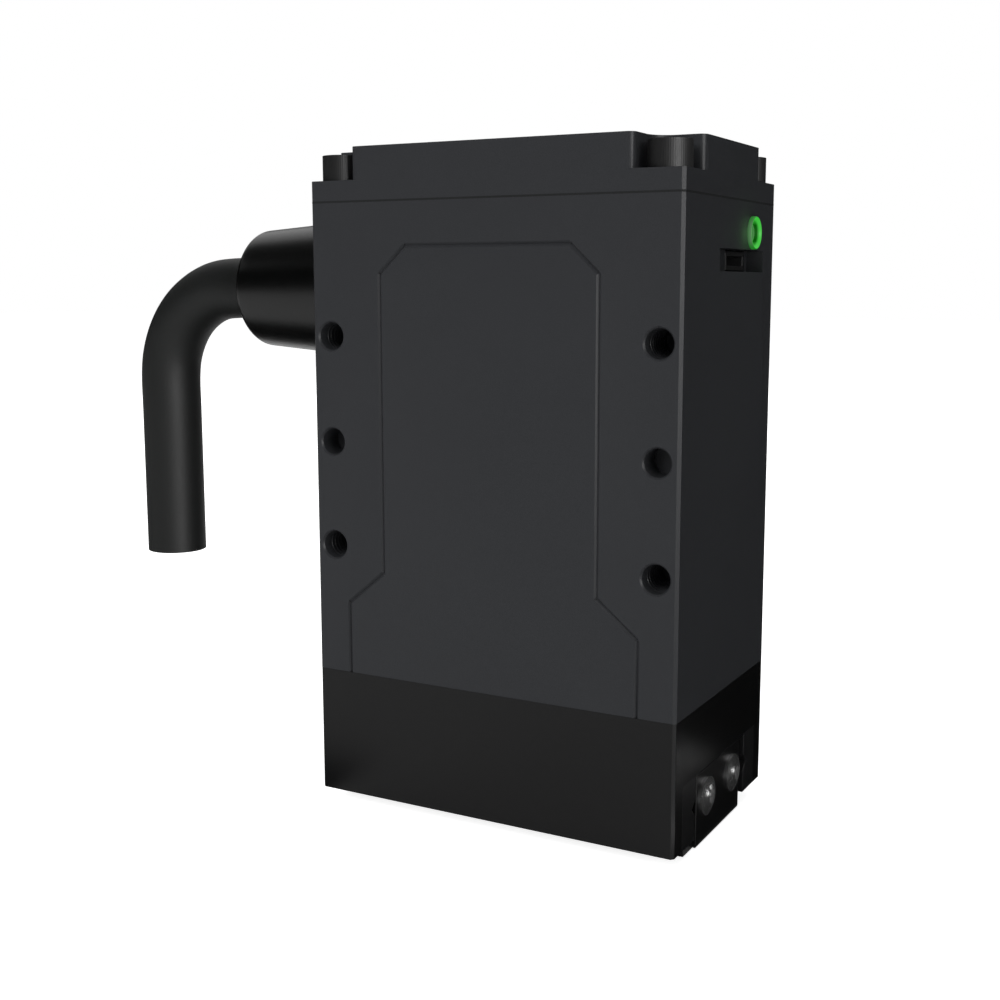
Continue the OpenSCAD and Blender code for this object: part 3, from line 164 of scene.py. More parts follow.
def vary(tree, sizes, out, swing, relief, distance):
    """Colour and roughness that follow `swing`, which is 0 on average, and a bump from `relief`."""
    spread = calc(tree, "MULTIPLY_ADD", swing, sizes["Colour spread"], 1.0)
    tinted = add(tree, "ShaderNodeVectorMath", operation="SCALE", Scale=spread)
    plug(tree, sizes["Colour"], tinted.inputs[0])
    plug(tree, tinted.outputs[0], out["Colour"])
    rough = calc(tree, "MULTIPLY_ADD", swing, sizes["Roughness spread"], sizes["Roughness"])
    plug(tree, rough, out["Roughness"])
    bump = add(tree, "ShaderNodeBump", Strength=1.0, Height=relief, Distance=distance)
    plug(tree, bump.outputs[0], out["Normal"])


def blasted_grain_group():
    """Fine bead-blasted or moulded grain, under a broad and faint cloud."""
    tree, sizes, out = finish_group("blasted_grain", [
        ("Grain size", "Float", 0.0002),
        ("Grain depth", "Float", 0.1),
    ])
    coords = add(tree, "ShaderNodeTexCoord").outputs["Object"]
    fine = calc(tree, "DIVIDE", 1.0, sizes["Grain size"])
    grain = add(tree, "ShaderNodeTexNoise", Vector=coords, Scale=fine, Detail=3.0, Roughness=0.6)
    cloud = add(tree, "ShaderNodeTexNoise", Vector=coords, Scale=45.0, Detail=4.0, Roughness=0.55)
    both = calc(tree, "ADD", grain.outputs["Fac"], cloud.outputs["Fac"])
    swing = calc(tree, "SUBTRACT", both, 1.0)
    depth = calc(tree, "MULTIPLY", sizes["Grain size"], sizes["Grain depth"])
    vary(tree, sizes, out, swing, grain.outputs["Fac"], depth)
    return tree


def fine_lines_group():
    """Lines left by grinding, turning or drawing: noise stretched along one direction."""
    tree, sizes, out = finish_group("fine_lines", [
        ("Line width", "Float", 0.00015),
        ("Line depth", "Float", 0.05),
        ("Stretch", "Vector", (0.03, 1.0, 1.0)),
    ])
    coords = add(tree, "ShaderNodeTexCoord").outputs["Object"]
    stretched = vector_calc(tree, "MULTIPLY", coords, sizes["Stretch"]).outputs[0]
    fine = calc(tree, "DIVIDE", 1.0, sizes["Line width"])
    lines = add(tree, "ShaderNodeTexNoise", Vector=stretched, Scale=fine, Detail=2.0, Roughness=0.5)
    swing = calc(tree, "SUBTRACT", lines.outputs["Fac"], 0.5)
    depth = calc(tree, "MULTIPLY", sizes["Line width"], sizes["Line depth"])
    vary(tree, sizes, out, swing, lines.outputs["Fac"], depth)
    return tree


GRAIN = blasted_grain_group()
LINES = fine_lines_group()
FINISH = {}  # the materials by the slots that they dress


def material(name, group, colour, values, plain):
    """A material with its colour, roughness and normal from a group; `plain` is for the shader."""
    mat = bpy.data.materials.new(name)
    mat.use_nodes = True
    tree = mat.node_tree
    shader = tree.nodes["Principled BSDF"]
    for key, value in plain.items():
        shader.inputs[key.replace("_", " ")].default_value = value
    finish = tree.nodes.new("ShaderNodeGroup")
    finish.node_tree = group
    finish.inputs["Colour"].default_value = (*colour, 1)
    for key, value in values.items():
        finish.inputs[key].default_value = value
    for ours, theirs in ("Colour", "Base Color"), ("Roughness", "Roughness"), ("Normal", "Normal"):
        tree.links.new(finish.outputs[ours], shader.inputs[theirs])
    FINISH[name] = mat
    return mat


def grained(name, colour, roughness, size=0.0002, depth=0.1, **plain):
    return material(name, GRAIN, colour, {
        "Colour spread": 0.12,
        "Roughness": roughness,
        "Roughness spread": 0.08,
        "Grain size": size,
        "Grain depth": depth,
    }, plain)


def lined(name, colour, roughness, stretch=(0.03, 1, 1), width=0.00015, depth=0.05, **plain):
    return material(name, LINES, colour, {
        "Colour spread": 0.2,
        "Roughness": roughness,
        "Roughness spread": 0.15,
        "Line width": width,
        "Line depth": depth,
        "Stretch": stretch,
    }, plain)


# body
grained("graphite_anodised", (0.0265, 0.0275, 0.0300), 0.40, size=0.00022, depth=0.08,
        Specular_IOR_Level=0.10)
grained("black_anodised", (0.0048, 0.0048, 0.0050), 0.32, depth=0.05, Specular_IOR_Level=0.20)
grained("seam_dark", (0.0165, 0.0170, 0.0175), 0.6, size=0.00025, Specular_IOR_Level=0.05)
# jaws, rails and screws
lined("black_steel", (0.0030, 0.0030, 0.0032), 0.56, (1, 1, 0.2), Specular_IOR_Level=0.42)
lined("bright_steel", (0.50, 0.50, 0.50), 0.24, (1, 1, 0.15), depth=0.02, Metallic=0.95)
lined("guide_steel", (0.010, 0.010, 0.0105), 0.30, Specular_IOR_Level=0.3)
grained("jaw_steel", (0.0050, 0.0050, 0.0053), 0.36, size=0.00018, depth=0.08,
        Specular_IOR_Level=0.15)
# drive and electronics
lined("brass", (0.60, 0.44, 0.18), 0.32, Metallic=1.0)
lined("gear_steel", (0.36, 0.36, 0.37), 0.30, (1, 1, 0.05), Metallic=1.0)
lined("motor_metal", (0.10, 0.10, 0.105), 0.35, (1, 1, 0.1), Metallic=0.8)
lined("copper_wire", (0.55, 0.22, 0.09), 0.3, (1, 1, 0.06), width=0.0004, depth=0.3,
      Metallic=0.9)
grained("magnet", (0.20, 0.20, 0.21), 0.35, Metallic=0.9)
grained("circuit_board", (0.01, 0.07, 0.03), 0.35, size=0.0006, depth=0.05)
# plastic and rubber
grained("black_rubber", (0.012, 0.012, 0.012), 0.62, size=0.00025, depth=0.15)
grained("black_plastic", (0.016, 0.016, 0.0165), 0.45, size=0.00015, depth=0.08,
        Specular_IOR_Level=0.15)
grained("clear_plastic", (0.02, 0.05, 0.02), 0.35, size=0.0003, depth=0.03,
        Specular_IOR_Level=0.3, Emission_Color=(0.25, 1.0, 0.25, 1), Emission_Strength=0.15)
grained("gland_plastic", (0.0010, 0.0011, 0.0011), 0.30, size=0.0005, depth=0.02,
        Specular_IOR_Level=0.33)
grained("cable_rubber", (0.0060, 0.0066, 0.0064), 0.58, size=0.0005, depth=0.04,
        Specular_IOR_Level=0.30)
grained("lead_insulation", (0.30, 0.03, 0.02), 0.4, size=0.0004, depth=0.05)


def light_green():
    """Glows green, with light and shade painted into the glow by place: painted shade darkens the
    inside deeper in, and the outside has a pale painted highlight across its middle, with painted
    shade at its foot.
    """
    mat = grained("green_light", (0.002, 0.015, 0.002), 0.4, size=0.0003, depth=0.03,
                  Specular_IOR_Level=0.1)
    tree = mat.node_tree
    shader = tree.nodes["Principled BSDF"]
    shader.inputs["Emission Strength"].default_value = 1.0
    coords = add(tree, "ShaderNodeTexCoord").outputs["Object"]
    axis = [v * MM for v in LIGHT_AT]
    middle = vector_calc(tree, "SUBTRACT", coords, axis).outputs[0]
    along, _, up = add(tree, "ShaderNodeSeparateXYZ", Vector=middle).outputs
    height = calc(tree, "ABSOLUTE", up)
    across = vector_calc(tree, "MULTIPLY", middle, (0, 1, 1)).outputs[0]
    radius = vector_calc(tree, "LENGTH", across).outputs["Value"]

    def ramp(source, start, stop, low, high):
        """One colour up to `start`, another from `stop` on, and a blend between the two."""
        blend = tree.nodes.new("ShaderNodeMapRange")
        for label, value in (("Value", source), ("From Min", start), ("From Max", stop)):
            plug(tree, value, blend.inputs[label])
        tint = add(tree, "ShaderNodeMix", data_type="RGBA")
        colours = [socket for socket in tint.inputs if socket.type == "RGBA"]
        plug(tree, blend.outputs[0], tint.inputs[0])
        for value, socket in zip((low, high), colours):
            plug(tree, (*value, 1) if isinstance(value, tuple) else value, socket)
        return next(socket for socket in tint.outputs if socket.type == "RGBA")

    # all in metres: along the axis, up or down from it, and out from it
    mid_height = (0.0012, 0.0022)
    # painted shade: at the middle heights the inside glows darker deeper in
    bore_painted_shade = ramp(along, 0.03005, 0.03035, (0.0, 0.080, 0.0), (0.055, 0.52, 0.055))
    inside = ramp(height, *mid_height, bore_painted_shade, (0.045, 0.50, 0.045))
    # painted highlight and painted shade: the outside is pale across the middle heights and darkens
    # towards its foot
    flank_painted_shade_and_highlight = ramp(along, 0.0299, 0.0304, (0.025, 0.080, 0.027), (0.078, 0.175, 0.078))
    outside = ramp(height, *mid_height, flank_painted_shade_and_highlight, (0.012, 0.17, 0.014))
    plug(tree, ramp(radius, 0.00225, 0.00235, inside, outside), shader.inputs["Emission Color"])


light_green()


# ---------------------------------------------------------------- pieces

# How the facets of the solids are read
MERGE_DIST = 2e-6               # vertices nearer than this are one vertex
FLAT_ANGLE = math.radians(0.6)  # faces that bend less than this are one face
EDGE_ANGLE = math.radians(28)   # edges that bend more than this are eased


def dress(obj, slot):
    obj.data.materials.clear()
    obj.data.materials.append(FINISH[slot])


def set_smooth(mesh, degrees):
    """Smooth faces, with sharp edges where they bend more than this."""
    mesh.shade_smooth()
    mesh.set_sharp_from_angle(angle=math.radians(degrees))


def place(obj, node, slot):
    """Put a finished piece in the scene, on the body of the node that it stands for."""
    scene.collection.objects.link(obj)
    dress(obj, slot)
    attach(obj, body_of_node[node])
    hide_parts(node)


def ease_edges(obj, width, segments, angle, harden=True, limit="ANGLE"):
    """A bevel on the edges that bend more than `angle`, or by their weights."""
    bevel = obj.modifiers.new("eased_edges", "BEVEL")
    bevel.width = width
    bevel.segments = segments
    bevel.limit_method = limit
    bevel.angle_limit = angle
    bevel.use_clamp_overlap = True
    bevel.harden_normals = harden


def apply_modifiers(obj):
    """The mesh that an object's modifiers make becomes its own, and it leaves the scene."""
    done = obj.evaluated_get(bpy.context.evaluated_depsgraph_get())
    mesh = bpy.data.meshes.new_from_object(done)
    obj.modifiers.clear()
    obj.data = mesh
    scene.collection.objects.unlink(obj)


def weigh_edges(bm, high, share):
    """Full bevel weight for upright edges at the outer corners, `share` for other sharp ones."""
    weights = bm.edges.layers.float.new("bevel_weight_edge")
    for edge in bm.edges:
        a, b = (v.co for v in edge.verts)
        upright = (a - b).xy.length < 1e-6
        at_corner = high.x - abs(a.x) < MM and high.y - abs(a.y) < MM
        weight = 1 if upright and at_corner else share
        edge[weights] = weight if edge.calc_face_angle(0) >= EDGE_ANGLE else 0


def crisp_copy(node, slot, width, segments=2, corner=None, harden=True):
    """A merged copy of a solid, with its flat faces whole again and its edges eased by `width`,
    and the upright edges at its outer corners by `corner`, if that is given."""
    mesh = nodes[node].data.copy()
    mesh.name = node + "_dressed"
    bm = bmesh.new()
    bm.from_mesh(mesh)
    bmesh.ops.remove_doubles(bm, verts=bm.verts, dist=MERGE_DIST)
    bmesh.ops.dissolve_limit(
        bm, angle_limit=FLAT_ANGLE, verts=bm.verts, edges=bm.edges, use_dissolve_boundaries=False
    )
    if corner:
        weigh_edges(bm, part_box(node)[1], width / corner)
    bm.to_mesh(mesh)
    bm.free()
    set_smooth(mesh, 32)
    obj = bpy.data.objects.new(node + "_dressed", mesh)
    scene.collection.objects.link(obj)
    ease_edges(obj, corner or width, segments, EDGE_ANGLE, harden, "WEIGHT" if corner else "ANGLE")
    apply_modifiers(obj)
    if harden:
        obj.data.shade_smooth()
    else:
        set_smooth(obj.data, 20)
    place(obj, node, slot)
    return obj


def ring_of(bm, middle, across, up, radius, sides):
    """A ring of vertices round `middle`, in the plane of two directions."""
    return [
        bm.verts.new(middle + radius * (math.cos(a) * across + math.sin(a) * up))
        for a in (2 * math.pi * k / sides for k in range(sides))
    ]


def skin(bm, pairs, sides):
    """Faces between pairs of rings, of which either may be a single point."""
    for a, b in pairs:
        for k in range(sides):
            n = (k + 1) % sides
            corners = [a[k % len(a)], a[n % len(a)], b[n % len(b)], b[k % len(b)]]
            bm.faces.new(list(dict.fromkeys(corners)))


def object_of(bm, name):
    """The object made of a finished bmesh, with its faces outwards."""
    bmesh.ops.recalc_face_normals(bm, faces=bm.faces)
    mesh = bpy.data.meshes.new(name)
    bm.to_mesh(mesh)
    bm.free()
    return bpy.data.objects.new(name, mesh)


def lathe(name, centre, axis, profile, sides=96, closed=True):
    """A turned piece: (distance along the axis, radius) points, swept round it, in millimetres."""
    axis = Vector(axis).normalized()
    side = axis.orthogonal().normalized()
    up = axis.cross(side)
    bm = bmesh.new()
    rings = []
    for along, radius in profile:
        middle = Vector(centre) * MM + axis * along * MM
        if radius:
            rings.append(ring_of(bm, middle, side, up, radius * MM, sides))
        else:
            rings.append([bm.verts.new(middle)])
    pairs = list(zip(rings, rings[1:]))
    if closed:
        pairs.append((rings[-1], rings[0]))
    skin(bm, pairs, sides)
    return object_of(bm, name)


def rounded_corner(middle, radius, start, stop, steps):
    """Points of a quarter round in a lathe profile, from one angle to another in degrees."""
    angles = (math.radians(start + (stop - start) * k / steps) for k in range(steps + 1))
    return [(middle[0] + radius * math.cos(a), middle[1] + radius * math.sin(a)) for a in angles]


# The cable's centre line: x and z, out of the gland, over one bend and down to its cut end
CABLE_ROUTE = [(x, CABLE_Z) for x in (-21, -26, -32, -38, -44, -50, -55, -60.2)] + [
    (-64.3, 80), (-68.1, 78.4), (-71.4, 75.9), (-73.9, 72.6), (-75.5, 68.8), (-76.1, 64.7),
] + [(-76.1, z) for z in (59, 53, 46, 39.5, 33.1)]


def smooth_line(points, steps):
    """Points along a smooth line through the given ones."""
    out = []
    for i in range(len(points) - 1):
        a = points[max(i - 1, 0)]
        b, c = points[i], points[i + 1]
        d = points[min(i + 2, len(points) - 1)]
        for t in (k / steps for k in range(steps)):
            out.append(
                0.5 * (2 * b + (c - a) * t + (2 * a - 5 * b + 4 * c - d) * t * t
                       + (3 * b - 3 * c + d - a) * t * t * t)
            )
    return out + [points[-1]]


def cable_line():
    return smooth_line([Vector((x, 0, z)) * MM for x, z in CABLE_ROUTE], 5)


def make_cable():
    """The sheath as a tube, with a rim round its cut end and the filler sunk a little inside."""
    line = cable_line()
    radius = CABLE_D / 2 * MM
    sides = 48
    side = Vector((0, 1, 0))
    bm = bmesh.new()
    rings = []
    for i, p in enumerate(line):
        ahead = (line[min(i + 1, len(line) - 1)] - line[max(i - 1, 0)]).normalized()
        rings.append(ring_of(bm, p, side.cross(ahead), side, radius, sides))
    ahead = (line[-1] - line[-2]).normalized()
    # shares of the radius, and distances past the last point
    for share, past in ((0.99, 0.00004), (0.80, 0.00004), (0.78, -0.0003)):
        middle = line[-1] + ahead * past
        rings.append(ring_of(bm, middle, side.cross(ahead), side, radius * share, sides))
    skin(bm, zip(rings, rings[1:]), sides)
    bm.faces.new(rings[0][::-1])
    bm.faces.new(rings[-1])
    obj = object_of(bm, "cable_sheath")
    set_smooth(obj.data, 50)
    place(obj, "cable_jacket", "cable_rubber")
    return obj


cable = make_cable()


def make_gland():
    """The strain relief: a cone with a rounded end, bored for the cable, and its threaded neck."""
    bore_r, neck_r, root_r, tip_r = 5.17, 7.98, 11.25, 9.7
    neck_l, seal_t, round_from, end = 9.5, 1.2, 21.6, 23.0
    round_r = end - round_from
    slope = (tip_r - root_r) / 21
    end_r = root_r + slope * (round_from - seal_t)
    profile = [(-neck_l, bore_r), (-neck_l, neck_r), (seal_t, neck_r)]
    profile += [(seal_t + along, root_r - in_by)
                for along, in_by in ((0, 0.15), (0.05, 0.05), (0.2, 0.02))]
    profile += [(along, root_r + slope * (along - seal_t)) for along in (4, 8, 12, 16, 20)]
    profile += rounded_corner((round_from, end_r - round_r), round_r, 86, 0, 8)
    profile += [(end - back, radius)
                for back, radius in ((0, 5.9), (0.1, 5.5), (0.4, 5.25), (0.8, bore_r))]
    obj = lathe("strain_relief", (-HALF_W, 0, CABLE_Z), (-1, 0, 0), profile)
    set_smooth(obj.data, 40)
    place(obj, "cable_gland", "gland_plastic")
    return obj


gland = make_gland()
seal = crisp_copy("gland_seal", "black_rubber", 0.0002)

CORNER_EASE = 0.00029
crisp_copy("housing", "graphite_anodised", 0.00016, 3, corner=CORNER_EASE)
crisp_copy("top_cover", "graphite_anodised", 0.00022, 3, corner=CORNER_EASE)
crisp_copy("base", "black_anodised", 0.00016, 3, corner=CORNER_EASE)
for rail in ("front_rail", "back_rail"):
    crisp_copy(rail, "guide_steel", 0.0001, 1, harden=False)
for side in ("right", "left"):
    crisp_copy(side + "_jaw", "jaw_steel", 0.00014, 2, harden=False)
    crisp_copy(side + "_end_plate", "jaw_steel", 0.0001, 1, harden=False)
crisp_copy("port_socket", "black_plastic", 0.0001, 2)


# ---------------------------------------------------------------- screws and threads

def geometry_tree(name, inputs):
    """A geometry node tree with named inputs (name, kind): its sockets, and its output's."""
    tree = bpy.data.node_groups.new(name, "GeometryNodeTree")
    tree.is_modifier = True
    for label, kind in inputs:
        tree.interface.new_socket(label, in_out="INPUT", socket_type="NodeSocket" + kind)
    tree.interface.new_socket("Geometry", in_out="OUTPUT", socket_type="NodeSocketGeometry")
    sizes = tree.nodes.new("NodeGroupInput").outputs
    return tree, sizes, tree.nodes.new("NodeGroupOutput").inputs[0]


def set_out(tree, points, instance, turn=None):
    """Copies of a geometry on points, turned if a turn is given."""
    node = tree.nodes.new("GeometryNodeInstanceOnPoints")
    plug(tree, points, node.inputs["Points"])
    plug(tree, instance, node.inputs["Instance"])
    if turn is not None:
        plug(tree, turn, node.inputs["Rotation"])
    return node.outputs[0]


def screw_tree():
    """Screws on the points of a mesh: ridged or plain, flat or domed, with hexagon sockets."""
    tree, sizes, end = geometry_tree("hexagon_socket_screws", (
        ("Points", "Geometry"), ("Head diameter", "Float"), ("Side height", "Float"),
        ("Dome height", "Float"), ("Socket width", "Float"), ("Socket depth", "Float"),
        ("Shank diameter", "Float"), ("Shank length", "Float"), ("Ridges", "Int"),
        ("Ridge depth", "Float"), ("Turn", "Vector"), ("Material", "Material"),
    ))

    def times(*values):
        """The product of numbers and sockets."""
        out = values[0]
        for value in values[1:]:
            out = calc(tree, "MULTIPLY", out, value)
        return out

    def upright(vertices, radius, depth, rise, rings=1):
        """A cylinder on the Z axis whose middle is raised by `rise`."""
        body = add(tree, "GeometryNodeMeshCylinder", Vertices=vertices, Radius=radius, Depth=depth)
        body.fill_type = "TRIANGLE_FAN" if rings > 1 else "NGON"
        body.inputs["Fill Segments"].default_value = rings
        along = add(tree, "ShaderNodeCombineXYZ", Z=rise)
        raised = tree.nodes.new("GeometryNodeTransform")
        plug(tree, body.outputs["Mesh"], raised.inputs["Geometry"])
        plug(tree, along.outputs[0], raised.inputs["Translation"])
        return raised.outputs["Geometry"]

    radius = times(sizes["Head diameter"], 0.5)
    side_mid = times(sizes["Side height"], 0.5)
    side_count = calc(tree, "MAXIMUM", times(sizes["Ridges"], 4), 64)
    head = upright(side_count, radius, sizes["Side height"], side_mid, 8)

    # the top face takes the form of a dome, and the side its ridges
    where = tree.nodes.new("GeometryNodeInputPosition").outputs[0]
    x, y, z = add(tree, "ShaderNodeSeparateXYZ", Vector=where).outputs
    out = calc(tree, "SQRT", calc(tree, "ADD", times(x, x), times(y, y)))
    share = calc(tree, "DIVIDE", out, radius)
    on_top = calc(tree, "GREATER_THAN", z, side_mid)
    on_side = calc(tree, "GREATER_THAN", share, 0.99)
    bowl = calc(tree, "SUBTRACT", 1.0, times(share, share))
    wave = calc(tree, "COSINE", times(sizes["Ridges"], calc(tree, "ARCTAN2", y, x)))
    inward = times(calc(tree, "SUBTRACT", wave, 1.0), sizes["Ridge depth"], 0.5)
    pull = calc(tree, "DIVIDE", times(inward, on_side), calc(tree, "MAXIMUM", out, 1e-5))
    rise = times(sizes["Dome height"], bowl, on_top)
    shift = add(tree, "ShaderNodeCombineXYZ", X=times(x, pull), Y=times(y, pull), Z=rise)
    shaped = tree.nodes.new("GeometryNodeSetPosition")
    plug(tree, head, shaped.inputs["Geometry"])
    plug(tree, shift.outputs[0], shaped.inputs["Offset"])

    # the socket is cut, and the shank joined on a little inside the head
    top = calc(tree, "ADD", sizes["Side height"], sizes["Dome height"])
    key_r = times(sizes["Socket width"], 1 / math.sqrt(3))
    key = upright(6, key_r, times(sizes["Socket depth"], 2), top)
    cut = add(tree, "GeometryNodeMeshBoolean", operation="DIFFERENCE", solver="EXACT")
    plug(tree, shaped.outputs["Geometry"], cut.inputs["Mesh 1"])
    plug(tree, key, cut.inputs["Mesh 2"])
    shank_mid = calc(tree, "MULTIPLY_ADD", sizes["Shank length"], -0.5, 0.0001)
    shank = upright(32, times(sizes["Shank diameter"], 0.5), sizes["Shank length"], shank_mid)
    joined = add(tree, "GeometryNodeMeshBoolean", operation="UNION", solver="EXACT")
    plug(tree, cut.outputs["Mesh"], joined.inputs["Mesh 2"])
    plug(tree, shank, joined.inputs["Mesh 2"])
    real = tree.nodes.new("GeometryNodeRealizeInstances")
    screws = set_out(tree, sizes["Points"], joined.outputs["Mesh"], sizes["Turn"])
    plug(tree, screws, real.inputs[0])

    # smooth faces with sharp edges, which a bevel then eases
    bend = tree.nodes.new("GeometryNodeInputMeshEdgeAngle").outputs[0]
    sharp = add(tree, "GeometryNodeSetShadeSmooth", domain="EDGE")
    plug(tree, real.outputs[0], sharp.inputs["Geometry"])
    plug(tree, calc(tree, "LESS_THAN", bend, math.radians(30)), sharp.inputs["Shade Smooth"])
    dressed = tree.nodes.new("GeometryNodeSetMaterial")
    plug(tree, sharp.outputs[0], dressed.inputs["Geometry"])
    plug(tree, sizes["Material"], dressed.inputs["Material"])
    plug(tree, dressed.outputs[0], end)
    return tree


def thread_tree():
    """The turns of thread that show in the mouths of tapped holes, on the points of a mesh."""
    tree, sizes, end = geometry_tree("hole_threads", (
        ("Points", "Geometry"), ("Diameter", "Float"), ("Pitch", "Float"), ("Turns", "Int"),
        ("Turn", "Vector"), ("Material", "Material"),
    ))
    # one ring of thread, with a square section that stands on its corner
    ring = tree.nodes.new("GeometryNodeCurvePrimitiveCircle")
    ring.inputs["Resolution"].default_value = 40
    plug(tree, calc(tree, "MULTIPLY", sizes["Diameter"], 0.5), ring.inputs["Radius"])
    section = tree.nodes.new("GeometryNodeCurvePrimitiveCircle")
    section.inputs["Resolution"].default_value = 4
    plug(tree, calc(tree, "MULTIPLY", sizes["Pitch"], 0.36), section.inputs["Radius"])
    solid = tree.nodes.new("GeometryNodeCurveToMesh")
    plug(tree, ring.outputs[0], solid.inputs["Curve"])
    plug(tree, section.outputs[0], solid.inputs["Profile Curve"])
    # a stack of rings, one pitch apart, down each hole
    step = add(tree, "ShaderNodeCombineXYZ", Z=calc(tree, "MULTIPLY", sizes["Pitch"], -1.0))
    stack = tree.nodes.new("GeometryNodeMeshLine")
    plug(tree, sizes["Turns"], stack.inputs["Count"])
    plug(tree, step.outputs[0], stack.inputs["Offset"])
    turns = set_out(tree, stack.outputs[0], solid.outputs[0])
    real = tree.nodes.new("GeometryNodeRealizeInstances")
    plug(tree, set_out(tree, sizes["Points"], turns, sizes["Turn"]), real.inputs[0])
    dressed = tree.nodes.new("GeometryNodeSetMaterial")
    plug(tree, real.outputs[0], dressed.inputs["Geometry"])
    plug(tree, sizes["Material"], dressed.inputs["Material"])
    plug(tree, dressed.outputs[0], end)
    return tree


SCREWS = screw_tree()
THREADS = thread_tree()


def grow(name, tree, points, values, eased):
    """Runs a geometry node tree on a few points, eases the edges and gives back the plain mesh."""
    start = bpy.data.meshes.new(name)
    start.from_pydata([Vector(p) for p in points], [], [])
    obj = bpy.data.objects.new(name, start)
    scene.collection.objects.link(obj)
    grown = obj.modifiers.new("grown", "NODES")
    grown.node_group = tree
    for item in tree.interface.items_tree:
        if item.in_out == "INPUT" and item.name in values:
            grown[item.identifier] = values[item.name]
    if eased:
        ease_edges(obj, eased, 2, math.radians(32))
    apply_modifiers(obj)
    return obj


def make_threads(mount, node, slot, pitch, start, turns):
    """Thread in the mouths of a bolt pattern's holes, from `start` below the face."""
    holes = next(m for m in frame["record"]["mounts"] if m["name"] == mount)
    dims = holes["dims"]
    out = Vector(holes["axis"])
    along = Vector((0, 0, 1)) if abs(out.z) < 0.5 else Vector((0, 1, 0))
    half_x, half_y = dims["spacing_x_mm"] * MM / 2, dims["spacing_y_mm"] * MM / 2
    middle = Vector(holes["pos_m"]) - out * start
    points = [middle + Vector((sx * half_x, 0, 0)) + along * sy * half_y
              for sx in (-1, 1) for sy in (-1, 1)]
    obj = grow(mount + "_threads", THREADS, points, {
        "Diameter": 2 * (dims["hole_r_mm"] * MM + 0.28 * pitch),
        "Pitch": pitch,
        "Turns": turns,
        "Turn": (math.pi if out.z < -0.5 else -out.y * math.pi / 2, 0, 0),
        "Material": FINISH[slot],
    }, 0)
    set_smooth(obj.data, 40)
    scene.collection.objects.link(obj)
    dress(obj, slot)
    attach(obj, body_of_node[node])


# Mount, node and finish, then the pitch, the start below the face and the turns that are made
for tapped in (
    ("front_screw_holes", "housing", "graphite_anodised", 0.0008, 0.0021, 7),
    ("back_screw_holes", "housing", "graphite_anodised", 0.0007, 0.0018, 8),
    ("right_finger_screw_holes", "right_jaw", "jaw_steel", 0.0005, 0.0006, 8),
    ("left_finger_screw_holes", "left_jaw", "jaw_steel", 0.0005, 0.0006, 8),
):
    make_threads(*tapped)


def make_cover_screws():
    """Cap screws with fine ridges round their heads, one in each of the cover's corners."""
    low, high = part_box("cover_screws")
    head_d, head_h = 0.0061, 0.0038
    points = [(sx * (high.x - head_d / 2), sy * (high.y - head_d / 2), high.z - head_h)
              for sx in (-1, 1) for sy in (-1, 1)]
    obj = grow("cap_screws", SCREWS, points, {
        "Head diameter": head_d,
        "Side height": head_h,
        "Dome height": 0.0,
        "Socket width": 0.003,
        "Socket depth": 0.0019,
        "Shank diameter": 0.003,
        "Shank length": high.z - head_h - low.z,
        "Ridges": 60,
        "Ridge depth": 0.00001,
        "Turn": (0, 0, 0),
        "Material": FINISH["black_steel"],
    }, 0.00018)
    place(obj, "cover_screws", "black_steel")


def make_end_screws(node, sign):
    """Button screws side by side in a stop plate, with their heads towards `sign` along X."""
    low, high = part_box(node)
    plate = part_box(node.replace("screws", "plate"))
    face = plate[1].x if sign > 0 else plate[0].x
    head_d = high.z - low.z
    points = [(face, y, (low.z + high.z) / 2) for y in (low.y + head_d / 2, high.y - head_d / 2)]
    obj = grow(node + "_dressed", SCREWS, points, {
        "Head diameter": head_d,
        "Side height": 0.00045,
        "Dome height": 0.00066,
        "Socket width": 0.0020,
        "Socket depth": 0.00095,
        "Shank diameter": 0.003,
        "Shank length": 0.0065,
        "Ridges": 0,
        "Ridge depth": 0.0,
        "Turn": (0, sign * math.pi / 2, 0),
        "Material": FINISH["bright_steel"],
    }, 0.00015)
    place(obj, node, "bright_steel")


make_cover_screws()
make_end_screws("right_end_screws", 1)
make_end_screws("left_end_screws", -1)


# ---------------------------------------------------------------- light and gasket

def make_status_light():
    """A green ring with a sloping inner side, round the sunk end of the light pipe."""
    ring = [(29.3, 1.70), (29.3, 1.79), (30.0, 1.79), (30.0, 2.4), (30.5, 2.4), (30.6, 2.37),
            (30.65, 2.31), (30.65, 2.24), (30.6, 2.17), (30.3, 2.0), (29.9, 1.78), (29.7, 1.70)]
    stem = [(21.8, 0), (21.8, 1.66), (29.4, 1.66), (29.6, 1.58), (29.85, 1.3), (30.03, 0.75),
            (30.08, 0)]
    for name, profile, closed, node, slot in (
        ("status_ring", ring, True, "light_ring", "green_light"),
        ("status_lens", stem, False, "light_pipe", "clear_plastic"),
    ):
        obj = lathe(name, LIGHT_AT, (1, 0, 0), profile, 64, closed)
        set_smooth(obj.data, 35)
        place(obj, node, slot)


